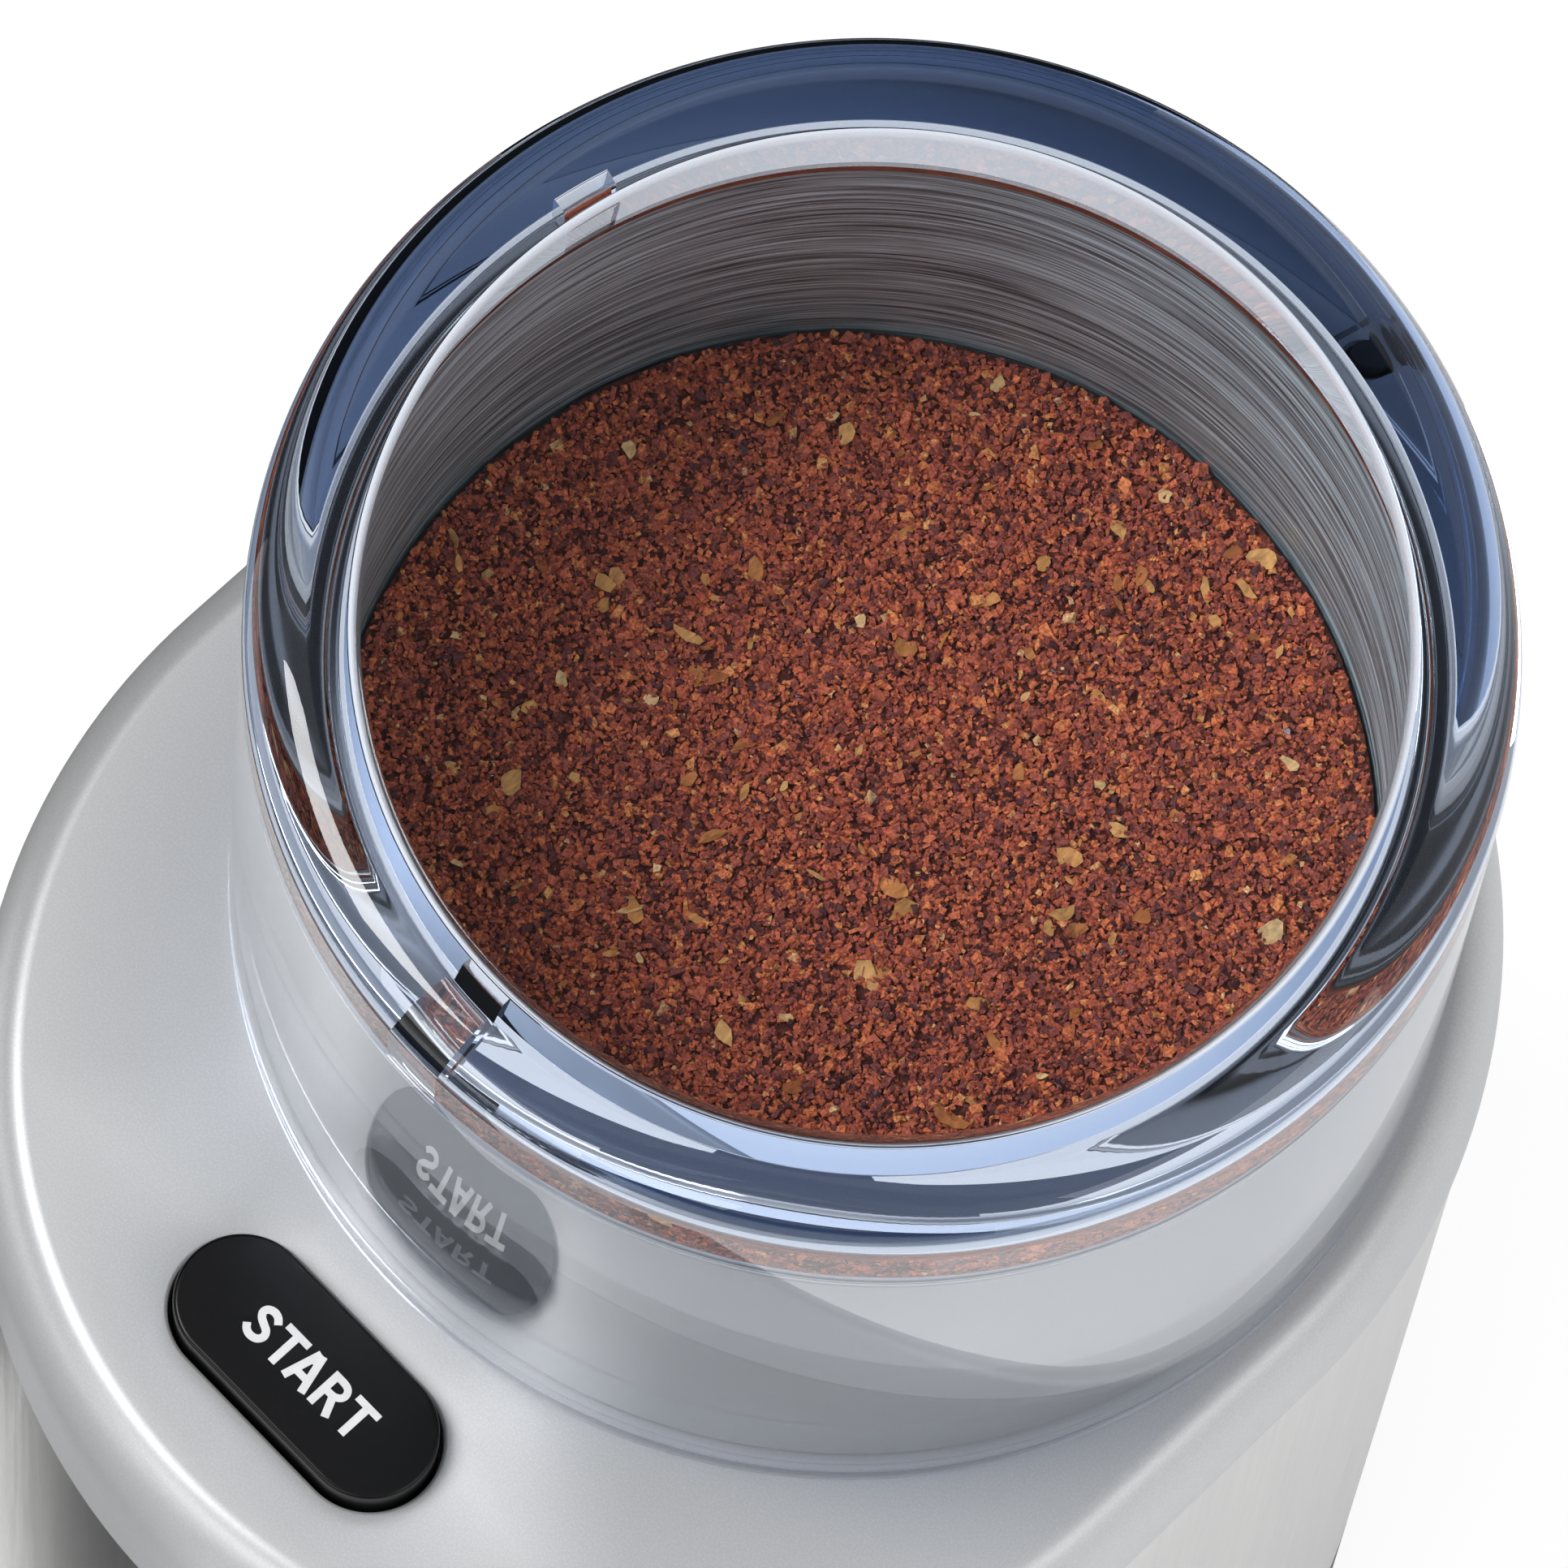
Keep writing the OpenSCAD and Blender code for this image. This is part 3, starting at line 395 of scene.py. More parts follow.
def clear_plastic():
    """Blue-tinged clear plastic; lamps, and rays mirrored often inside it, pass straight through."""
    m = Mat("clear_plastic", Roughness=0.0, IOR=1.49)
    m.bsdf.inputs["Base Color"].default_value = (0.985, 0.988, 1.0, 1)
    m.bsdf.inputs["Transmission Weight"].default_value = 1.0
    through = m.add("ShaderNodeBsdfTransparent", {"Color": (0.93, 0.94, 0.97, 1)})
    path = m.add("ShaderNodeLightPath")
    lamp = m.calc("MAXIMUM", path.outputs["Is Shadow Ray"], path.outputs["Is Diffuse Ray"])
    deep = m.calc("GREATER_THAN", path.outputs["Glossy Depth"], 2.5)
    part = m.calc("MAXIMUM", lamp, deep)
    both = m.add("ShaderNodeMixShader", {0: part, 1: m.bsdf.outputs[0], 2: through.outputs[0]})
    m.links.new(both.outputs[0], m.out.inputs["Surface"])
    tint = m.add("ShaderNodeVolumeAbsorption")
    tint.inputs["Color"].default_value = (0.16, 0.36, 0.64, 1)
    tint.inputs["Density"].default_value = 26.0
    m.links.new(tint.outputs[0], m.out.inputs["Volume"])
    return m.mat


def black_button():
    m = Mat("black_button", Roughness=0.26, IOR=1.4)
    m.bsdf.inputs["Base Color"].default_value = (0.0035, 0.0035, 0.0038, 1)
    m.bsdf.inputs["Specular IOR Level"].default_value = 0.25
    m.bump(m.noise(5200, 3), 0.15, 0.00002)
    return m.mat


def legend_grey():
    m = Mat("legend_grey", Roughness=0.45)
    worn = m.noise(900, 3)
    m.set(m.bsdf, "Base Color", m.ramp(worn, [(0.3, grey(0.54)), (0.7, grey(0.60))]))
    return m.mat


def spice_bed_painted_shade():
    # The bed's browns are painted shade: far darker than the grains, they stand for the shade deep
    # between the grains lying on it.
    m = Mat("spice_bed_painted_shade", Roughness=0.95)
    m.bsdf.inputs["Specular IOR Level"].default_value = 0.15
    m.set(m.bsdf, "Base Color", m.ramp(m.noise(1500, 6, roughness=0.7), [
        (0.30, (0.020, 0.007, 0.008)), (0.50, (0.085, 0.022, 0.015)),
        (0.70, (0.22, 0.055, 0.028))]))
    m.bump(m.noise(2500, 5), 0.8, 0.0002)
    return m.mat


def spice_grain():
    m = Mat("spice_grain")
    m.bsdf.inputs["Specular IOR Level"].default_value = 0.25
    info = m.add("ShaderNodeNewGeometry")
    each = info.outputs["Random Per Island"]
    base = m.ramp(each, [
        (0.00, (0.080, 0.028, 0.032)), (0.12, (0.26, 0.068, 0.054)), (0.45, (0.52, 0.118, 0.066)),
        (0.80, (0.72, 0.170, 0.072)), (0.95, (0.86, 0.25, 0.082)), (0.988, (0.90, 0.38, 0.12)),
        (1.0, (0.92, 0.55, 0.26))])
    m.set(m.bsdf, "Roughness", m.ramp(each, [
        (0.0, grey(0.12)), (0.02, grey(0.12)), (0.025, grey(0.8))]))
    speck = m.ramp(m.noise(3800, 4, roughness=0.65), [(0.36, grey(0.40)), (0.62, grey(1.12))])
    m.set(m.bsdf, "Base Color", m.mix(1.0, base, speck, "MULTIPLY"))
    m.bump(m.noise(6000, 3), 0.5, 0.00005)
    return m.mat


def spice_chaff():
    m = Mat("spice_chaff", Roughness=0.7)
    m.bsdf.inputs["Specular IOR Level"].default_value = 0.2
    info = m.add("ShaderNodeNewGeometry")
    base = m.ramp(info.outputs["Random Per Island"], [
        (0.0, (0.42, 0.12, 0.035)), (0.35, (0.64, 0.24, 0.065)), (0.7, (0.78, 0.38, 0.12)),
        (1.0, (0.90, 0.58, 0.27))])
    vein = m.ramp(m.noise(2600, 4, (1, 0.3, 1)), [(0.3, grey(0.55)), (0.7, grey(1.05))])
    m.set(m.bsdf, "Base Color", m.mix(1.0, base, vein, "MULTIPLY"))
    m.bump(m.noise(3000, 3), 0.4, 0.00005)
    return m.mat


def plain(name, colour, rough, metallic=0.0, scale=700, change=0.15, depth=0.00002,
          stretch=(1, 1, 1)):
    """A finish with a fine mottle and grain."""
    m = Mat(name, Metallic=metallic)
    fac = m.noise(scale, 4, stretch)
    low = tuple(c * (1 - change) for c in colour)
    high = tuple(min(1, c * (1 + change)) for c in colour)
    m.set(m.bsdf, "Base Color", m.ramp(fac, [(0.3, low), (0.7, high)]))
    m.set(m.bsdf, "Roughness", m.span(fac, 0.2, 0.8, rough * 0.85, min(1, rough * 1.15)))
    m.bump(m.noise(scale * 2.3, 3, stretch), 0.3, depth)
    return m.mat


# ---------- visible pieces ----------

def seam_z(y, drop=0.0):
    """Height of the seam between the cover and the sleeve."""
    slope = (SEAM_FRONT - SEAM_SIDE) / (BODY_R + 2 * BOWL_Y)
    return DECK_Z - SEAM_SIDE - drop - max(0.0, BOWL_Y - y) * slope


def build_deck(material):
    """The cover: rounded edge, slanted seam, the holes of bowl, button and pin, and the bowl's seat."""
    s = Shell()
    steps = 20
    outer = []
    for i in range(steps + 1):
        a = math.pi / 2 * i / steps
        r = BODY_R - EDGE_W + EDGE_W * math.sin(a)
        outer.append(s.loop(stadium_loop(r, DECK_Z - EDGE_H + EDGE_H * math.cos(a))))
    outer.append(s.loop(stadium_loop(BODY_R, lambda y: seam_z(y) + 0.25)))
    outer.append(s.loop(stadium_loop(BODY_R - 0.08, lambda y: seam_z(y) + 0.07)))
    outer.append(s.loop(stadium_loop(BODY_R - 0.25, seam_z)))
    outer.append(s.loop(stadium_loop(BODY_R - 3, seam_z)))
    outer.append(s.loop(stadium_loop(BODY_R - 3, DECK_Z - EDGE_H)))
    outer.append(s.loop(stadium_loop(BODY_R - 4, DECK_Z - DECK_T)))
    s.skin(outer)
    bowl_hole = [s.loop(circle_loop(SEAT_R + g, DECK_Z - d)) for g, d in
                 ((0.5, 0), (0.15, 0.15), (0, 0.5), (0, DECK_T))]
    opening = [s.loop(button_loop(BUTTON_GAP + g, DECK_Z - d)) for g, d in
               ((0.35, 0), (0.19, 0.05), (0.05, 0.19), (0, 0.38), (0, DECK_T))]
    pin_hole = [s.loop(circle_loop(PIN_HOLE_R + g, DECK_Z - d, 32, PIN_Y)) for g, d in
                ((0.25, 0), (0, 0.25), (0, DECK_T))]
    for walls in (bowl_hole, opening, pin_hole):
        s.skin(walls)
    s.flat(outer[0], (bowl_hole[0], opening[0], pin_hole[0]))
    s.flat(outer[-1], (bowl_hole[-1], opening[-1], pin_hole[-1]))
    seat = lathe(rounded(
        [(SEAT_R, SEAT_EDGE), (SEAT_R, SEAT_FLOOR), (SHAFT_HOLE_R, SEAT_FLOOR),
         (SHAFT_HOLE_R, SEAT_UNDER), (SEAT_R + 2, SEAT_UNDER), (SEAT_R + 2, SEAT_EDGE)],
        [0, 0.8, 0.3, 0.3, 1, 0]), 192)
    first = len(s.verts)
    s.verts += seat[0]
    s.faces += [[first + i for i in f] for f in seat[1]]
    return add_mesh("deck_shell", s.verts, s.faces, material, sharp=30)


def build_sleeve(material):
    """The steel wall between the base and the cover's seam."""
    s = Shell()
    low = sleeve_low[2]
    t = 1.2
    loops = [s.loop(stadium_loop(SLEEVE_R - g, z)) for g, z in (
        (0.25, low), (0, low + 0.3), (0, lambda y: seam_z(y, SEAM_GAP) - 0.3),
        (0.3, lambda y: seam_z(y, SEAM_GAP)), (t, lambda y: seam_z(y, SEAM_GAP)), (t, low))]
    s.skin(loops, closed=True)
    return add_mesh("sleeve_shell", s.verts, s.faces, material, sharp=30)


# The legend's strokes, in mm from the button's middle.
LEGEND_W = 0.66
BAR_W = 0.60
CAP_HIGH, CAP_LOW = 1.45, -1.85
S_LINE = [(-3.80, 0.60), (-4.20, 0.98), (-4.72, 1.12), (-5.22, 0.92), (-5.38, 0.50),
          (-5.10, 0.10), (-4.60, -0.16), (-4.10, -0.42), (-3.90, -0.88), (-4.18, -1.36),
          (-4.75, -1.52), (-5.27, -1.37), (-5.64, -0.98)]
R_LINE = [(2.30, 1.14), (3.10, 1.14), (3.62, 1.00), (3.88, 0.62), (3.82, 0.18), (3.42, -0.14),
          (2.95, -0.22), (2.30, -0.22)]


def curve_points(line, steps=6):
    """A smooth line through the points."""
    p = [Vector(q) for q in line]
    p = [2 * p[0] - p[1]] + p + [2 * p[-1] - p[-2]]
    out = []
    for a, b, c, d in zip(p, p[1:], p[2:], p[3:]):
        for k in range(steps):
            t = k / steps
            out.append(0.5 * (2 * b + (c - a) * t + (2 * a - 5 * b + 4 * c - d) * t * t
                              + (3 * b - a - 3 * c + d) * t ** 3))
    return out + [p[-2]]


def stroke(line, width):
    """Outline of a stroke with flat ends."""
    left, right = [], []
    for i, p in enumerate(line):
        along = (line[min(i + 1, len(line) - 1)] - line[max(i - 1, 0)]).normalized()
        side = Vector((-along.y, along.x)) * width / 2
        left.append(p + side)
        right.append(p - side)
    return left + right[::-1]


def legend_strokes():
    high, low, bar = CAP_HIGH, CAP_LOW, CAP_HIGH - BAR_W / 2
    straight = [
        ((-3.28, bar), (-0.84, bar), BAR_W), ((-2.06, bar), (-2.06, low), LEGEND_W),
        ((0.20, high), (-0.68, low), LEGEND_W), ((0.44, high), (1.32, low), LEGEND_W),
        ((-0.30, -0.82), (0.94, -0.82), BAR_W),
        ((2.30, high), (2.30, low), LEGEND_W), ((3.22, -0.20), (4.00, low), LEGEND_W),
        ((4.58, bar), (7.02, bar), BAR_W), ((5.80, bar), (5.80, low), LEGEND_W)]
    shapes = [stroke([Vector(a), Vector(b)], w) for a, b, w in straight]
    shapes.append(stroke(curve_points(S_LINE), LEGEND_W * 0.98))
    shapes.append(stroke(curve_points(R_LINE), BAR_W))
    shapes.append([Vector(q) for q in ((-0.16, high), (0.80, high), (0.56, 0.4), (0.08, 0.4))])
    return shapes


def build_legend(material, top):
    """The button's word as thin raised print."""
    points, faces = [], []
    for shape in legend_strokes():
        if sum(a.x * b.y - b.x * a.y for a, b in zip(shape, shape[1:] + shape[:1])) < 0:
            shape = shape[::-1]
        faces.append(list(range(len(points), len(points) + len(shape))))
        points += shape
    flat, _, tris, _, _, origin = delaunay_2d_cdt(points, [], faces, 1, 1e-5, True)
    tris = [t for t, o in zip(tris, origin) if o]
    thick = 0.035
    n = len(flat)
    verts = [(p.x, BUTTON_Y + p.y, z) for z in (top + thick, top - 0.02) for p in flat]
    edges = {}
    for t in tris:
        for a, b in zip(t, t[1:] + t[:1]):
            edges[(a, b)] = True
    rim = [(a, b) for a, b in edges if (b, a) not in edges]
    solid = [list(t) for t in tris] + [[i + n for i in reversed(t)] for t in tris]
    solid += [[b, a, a + n, b + n] for a, b in rim]
    return add_mesh("button_legend", verts, solid, material, smooth=False)


def build_button(material):
    """The pill-shaped cap with its flange under the deck and its stem."""
    top = button_high[2]
    profile = rounded([(0, 1.2), (0, 0), (30, 0)], [0, BUTTON_EDGE, 0], 8)[1:-1]
    s = Shell()
    loops = [s.loop(button_loop(0, FLANGE_Z + 1))]
    for out, down in profile:
        loops.append(s.loop(button_loop(-out, top - down)))
    s.skin(loops)
    s.flat(loops[0])
    s.flat(loops[-1])
    flange = []
    for g, up in ((-0.2, 0), (1.3, 0), (1.3, FLANGE_H), (-0.2, FLANGE_H)):
        flange.append(s.loop(button_loop(g, FLANGE_Z + up)))
    s.skin(flange)
    s.flat(flange[0])
    s.flat(flange[-1])
    stem = [s.loop(circle_loop(STEM_R, z, 48, BUTTON_Y)) for z in (button_low[2], FLANGE_Z + 1)]
    s.skin(stem)
    s.flat(stem[0])
    s.flat(stem[-1])
    return add_mesh("button_cap", s.verts, s.faces, material, sharp=50)


def columns(middle, width, radius, n):
    """Numbers of the turned columns that lie within a slot of some width at an angle."""
    half = math.degrees(width / 2 / radius)
    return {k for k in range(n) if abs(((k + 0.5) * 360 / n - middle + 180) % 360 - 180) < half}


def build_lid(material):
    """The clear lid: a skirt, a flat roof and the thick ring over the bowl's rim, with key pockets."""
    n = 288
    low, under = lid_low[2], LID_TOP - LID_ROOF
    skirt_low, skirt_high = LID_R - LID_WALL, RIM_R + 0.35
    ring_in, ring_low = BOWL_R - 1.5, BOWL_R - 0.2
    pocket_out, pocket_in, pocket_top = RIM_R, RIM_R - POCKET_D, RING_Z + POCKET_H
    notch_out = LID_R - 0.005
    notch_in = skirt_low + (skirt_high - skirt_low) * (NOTCH_TOP - low) / (RING_Z - low)
    dome = rounded([(0, LID_TOP), (LID_R - 0.1, LID_TOP), (notch_out, NOTCH_TOP)], [0, 5, 0], 24)
    foot = rounded([(notch_out, NOTCH_TOP), (LID_R, low), (skirt_low, low), (notch_in, NOTCH_TOP)],
                   [0, 0.4, 0.4, 0], 8)
    wall = rounded([(notch_in, NOTCH_TOP), (skirt_high, RING_Z), (pocket_out, RING_Z)],
                   [0, 0.15, 0], 6)
    pocket = rounded([(pocket_out, RING_Z), (pocket_out, pocket_top), (pocket_in, pocket_top),
                      (pocket_in, RING_Z)], [0, 0.4, 0.4, 0], 5)
    hollow = rounded([(pocket_in, RING_Z), (ring_low, RING_Z), (ring_in, under), (0, under)],
                     [0, 0.2, 1, 0], 12)
    first_angle, second_angle = POCKET_ANGLES
    pockets = columns(first_angle, SLOT_W, pocket_out, n) | columns(second_angle, SLOT_W, pocket_out, n)
    notch = columns(NOTCH_ANGLE, SLOT_W, LID_R, n)
    verts, faces, known = [], [], {}

    def ring(r, z):
        key = (round(r, 6), round(z, 6))
        if key not in known:
            first = len(verts)
            if r < 1e-6:
                verts.append((0, BOWL_Y, z))
                known[key] = [first] * n
            else:
                verts.extend(circle_loop(r, z, n))
                known[key] = list(range(first, first + n))
        return known[key]

    def skin(rings, columns_used):
        for a, b in zip(rings, rings[1:]):
            for k in columns_used:
                q = [a[k], a[(k + 1) % n], b[(k + 1) % n], b[k]]
                q = [v for j, v in enumerate(q) if v != q[j - 1]]
                if len(q) > 2:
                    faces.append(q)

    def slot(profile, cut, deep):
        """A profile that only some columns have; the others go straight from its start to its end."""
        rings = [ring(*p) for p in profile]
        skin(rings, [k for k in range(n) if (k in cut) == deep])
        skin([rings[0], rings[-1]], [k for k in range(n) if (k in cut) != deep])
        for k in cut:
            for other, edge in (((k - 1) % n, k), ((k + 1) % n, (k + 1) % n)):
                if other not in cut:
                    faces.append([loop[edge] for loop in rings])

    for profile in (dome, wall, hollow):
        skin([ring(*p) for p in profile], range(n))
    slot(foot, notch, False)
    slot(pocket, pockets, True)
    return add_mesh("clear_lid", verts, faces, material, sharp=40)


def liner_points(d, steps=10):
    """The bowl's inner curve moved outwards by d."""
    out = [(0, BOWL_FLOOR - d)]
    for i in range(steps + 1):
        a = math.pi / 2 * i / steps
        out.append((BOWL_R - BOWL_FILLET + (BOWL_FILLET + d) * math.sin(a),
                    BOWL_FLOOR + BOWL_FILLET - (BOWL_FILLET + d) * math.cos(a)))
    return out


def build_bowl(steel, rim_steel, jacket_steel):
    """The bowl's brushed inside, its solid rim and its bright outside."""
    inner = liner_points(0)
    outer = liner_points(STEEL_T)
    rim_low = RIM_TOP - RIM_H
    rim = rounded([(BOWL_R, rim_low), (BOWL_R, RIM_TOP), (RIM_R, RIM_TOP), (RIM_R, rim_low)],
                  [0, 0.4, 0.4, 0.2], 8)
    inner[0], outer[0] = (BUSHING_HOLE_R, inner[0][1]), (BUSHING_HOLE_R, outer[0][1])
    wall = [(BOWL_R, rim_low), (BOWL_R + STEEL_T, rim_low)]
    liner = add_mesh("bowl_inside", *lathe(inner + wall + outer[::-1], 256), steel, sharp=40)
    rim = add_mesh("bowl_rim", *lathe(rim, 256), rim_steel, sharp=40)
    high, low = jacket_high[2], jacket_low[2]
    jacket = add_mesh("bowl_outside", *lathe(rounded(
        [(JACKET_R, low), (JACKET_R, high), (JACKET_R - STEEL_T, high), (JACKET_R - STEEL_T, low)],
        [0.2, 0.2, 0.2, 0.2], 4), 256), jacket_steel, sharp=40)
    return liner, rim, jacket


def heap(x, y):
    """Height of the spice's surface above its mean level, in mm."""
    p = Vector((x, y, 0))
    slow = noise(p * 0.045 + Vector((3, 1, 2))) * 0.9
    mid = noise(p * 0.16 + Vector((7, 5, 1))) * 0.45
    return slow + mid - 0.5


def build_spice(bed_material):
    """The heap's body with its uneven top, closed over the blade's room."""
    n = 360
    verts, faces, first_rings = [], [], []
    for r in np.linspace(HEAP_R, 0.6, 110):
        first_rings.append(len(verts))
        for k in range(n):
            a = TAU * k / n
            x, y = r * math.cos(a), r * math.sin(a)
            fine = noise(Vector((x, y, 4)) * 1.4) * 0.22
            verts.append((x, BOWL_Y + y, HEAP_LEVEL + heap(x, y) + fine))
    for a, b in zip(first_rings, first_rings[1:]):
        faces += [[a + k, a + (k + 1) % n, b + (k + 1) % n, b + k] for k in range(n)]
    centre = len(verts)
    verts.append((0, BOWL_Y, HEAP_LEVEL + heap(0, 0)))
    last = first_rings[-1]
    faces += [[last + k, last + (k + 1) % n, centre] for k in range(n)]
    cavity_r, cavity_top, foot = 34.4, SPICE_TOP - 4.0, BOWL_FLOOR + 0.3
    under = [(HEAP_R, BOWL_FLOOR + BOWL_FILLET), (SPICE_R - 2.3, BOWL_FLOOR + 2.1),
             (SPICE_R - 6.7, foot), (cavity_r, foot), (cavity_r, cavity_top)]
    below = first_rings[0]
    for r, z in under:
        start = len(verts)
        verts += circle_loop(r, z, n)
        faces += [[below + k, below + (k + 1) % n, start + (k + 1) % n, start + k]
                  for k in range(n)]
        below = start
    faces.append([below + k for k in range(n)])
    return add_mesh("spice_heap", verts, faces, bed_material, sharp=60)


def add_raw(name, verts, faces, material):
    """A flat-shaded mesh from an array of points in mm."""
    mesh = bpy.data.meshes.new(name)
    mesh.from_pydata((verts.reshape(-1, 3) * MM).tolist(), [], faces)
    mesh.update()
    obj = bpy.data.objects.new(name, mesh)
    bpy.context.scene.collection.objects.link(obj)
    mesh.materials.append(material)
    return obj


def spot(rng, reach):
    """A random place within reach of the bowl's axis."""
    r, a = reach * math.sqrt(rng.random()), TAU * rng.random()
    return r * math.cos(a), r * math.sin(a)


def tumble(rng, lean):
    """A random turn about Z and a random lean about X and Y."""
    turn = rot("Z", TAU * rng.random())
    lean_x = rot("X", rng.normal(0, lean))
    lean_y = rot("Y", rng.normal(0, lean))
    return np.array(turn @ lean_x @ lean_y)


def scatter_grains(name, count, size, material, rng, reach):
    """Many small angular grains lying on the heap, as one mesh."""
    cube = np.array([[x, y, z] for x in (-1, 1) for y in (-1, 1) for z in (-1, 1)], float)
    quads = np.array([[0, 1, 3, 2], [4, 6, 7, 5], [0, 4, 5, 1],
                      [2, 3, 7, 6], [0, 2, 6, 4], [1, 5, 7, 3]])
    verts = np.empty((count, 8, 3))
    for i in range(count):
        x, y = spot(rng, reach)
        big = 0.5 * rng.uniform(*size) * (1 + 0.9 * rng.random() ** 7)
        shape = cube * (rng.uniform(0.7, 1.4), rng.uniform(0.6, 1.1), rng.uniform(0.4, 0.85))
        shape = shape * (0.8 + 0.45 * (rng.random((8, 3)) - 0.5) * 2) * big
        z = HEAP_LEVEL + heap(x, y) + rng.uniform(-0.1, 0.45)
        verts[i] = shape @ tumble(rng, 0.7).T + (x, BOWL_Y + y, z)
    faces = (quads[None] + 8 * np.arange(count)[:, None, None]).reshape(-1, 4)
    return add_raw(name, verts, faces.tolist(), material)


def scatter_chaff(name, count, size, material, rng, reach):
    """Thin curled flakes with ragged outlines lying on the grains."""
    n = 9
    verts, faces = [], []
    for i in range(count):
        x, y = spot(rng, reach)
        long = 0.5 * rng.uniform(*size) * (0.55 + 0.75 * rng.random() ** 2)
        wide = long * rng.uniform(0.32, 0.75)
        a = TAU * (np.arange(n) + 0.5 * rng.random(n)) / n
        ragged = 0.7 + 0.5 * rng.random(n)
        px, py = long * ragged * np.cos(a), wide * ragged * np.sin(a)
        curl = rng.uniform(-0.5, 0.9) / max(long, 0.3)
        pz = curl * px * px * 0.5 + 0.06 * rng.random(n)
        ring = np.stack([px, py, pz], 1)
        middle = np.array([[0.2 * long * (rng.random() - 0.5), 0, 0.05 * long]])
        top = np.concatenate([middle, ring])
        shape = np.concatenate([top, top - (0, 0, 0.07)]) @ tumble(rng, 0.3).T
        z = SPICE_TOP - 0.15 + heap(x, y) + rng.uniform(0.0, 0.35)
        first = len(verts) * 2 * (n + 1)
        verts.append(shape + (x, BOWL_Y + y, z))
        for k in range(n):
            b = (k + 1) % n
            faces.append([first, first + 1 + k, first + 1 + b])
            faces.append([first + n + 1, first + n + 2 + b, first + n + 2 + k])
            faces.append([first + 1 + k, first + n + 2 + k, first + n + 2 + b, first + 1 + b])
    return add_raw(name, np.array(verts), faces, material)


# ---------- camera, light and floor ----------

VIEW_TILT = math.radians(72.478)
VIEW_TURN = math.radians(36.8)
VIEW_DISTANCE = 1.27166
VIEW_YAW, VIEW_PITCH, VIEW_ROLL = (math.radians(a) for a in (0.261, -0.336, 9.773))
LENS = 372.67


def add_camera():
    """A long lens close above the lid, leaning to the side."""
    place = Vector((0, -math.cos(VIEW_TILT), math.sin(VIEW_TILT))) * VIEW_DISTANCE
    forward = -place.normalized()
    right = Vector((1, 0, 0))
    up = right.cross(forward)
    look = Matrix((right, -up, forward))
    look = rot("Z", VIEW_ROLL) @ rot("Y", VIEW_YAW) @ rot("X", VIEW_PITCH) @ look
    turn = rot("Z", VIEW_TURN)
    axes = [turn @ Vector(look[0]), turn @ -Vector(look[1]), turn @ -Vector(look[2])]
    data = bpy.data.cameras.new("camera")
    data.lens = LENS
    data.sensor_width = 36
    data.clip_start = 0.05
    camera = bpy.data.objects.new("camera", data)
    bpy.context.scene.collection.objects.link(camera)
    basis = Matrix(axes).transposed().to_4x4()
    basis.translation = turn @ place + Vector((0, BOWL_Y * MM, DECK_Z * MM))
    camera.matrix_world = basis
    bpy.context.scene.camera = camera
    return camera


def add_lamp(name, place, aim, size, power):
    """A white rectangular lamp; place and aim in metres, power in watts."""
    data = bpy.data.lights.new(name, "AREA")
    data.shape = "RECTANGLE"
    data.size, data.size_y = size
    data.energy = power
    lamp = bpy.data.objects.new(name, data)
    bpy.context.scene.collection.objects.link(lamp)
    direction = Vector(aim) - Vector(place)
    turn = direction.to_track_quat("-Z", "Y").to_matrix().to_4x4()
    lamp.matrix_world = Matrix.Translation(place) @ turn
    return lamp


MIRROR_WAY = (-0.185, 0.245, 0.952)
HOLE_OUTER, HOLE_INNER, HOLE_LEVEL = 0.9870, 0.9962, 0.10
MATT_LEVEL = 1.6
LEFT_LEVEL, HORIZON_LEVEL, TOP_LEVEL = 0.10, 0.85, 0.55
NEAR_TURN, FRONT_TURN = math.radians(-53), math.radians(-90)
BLACK_CARD, NAVY_CARD = (0.01, 0.01, 0.01, 1), (0.045, 0.06, 0.10, 1)
FLOOR_SIDE = 3.0
FLOOR_GLOW, FLOOR_GLOW_PART = 1.06, 0.8


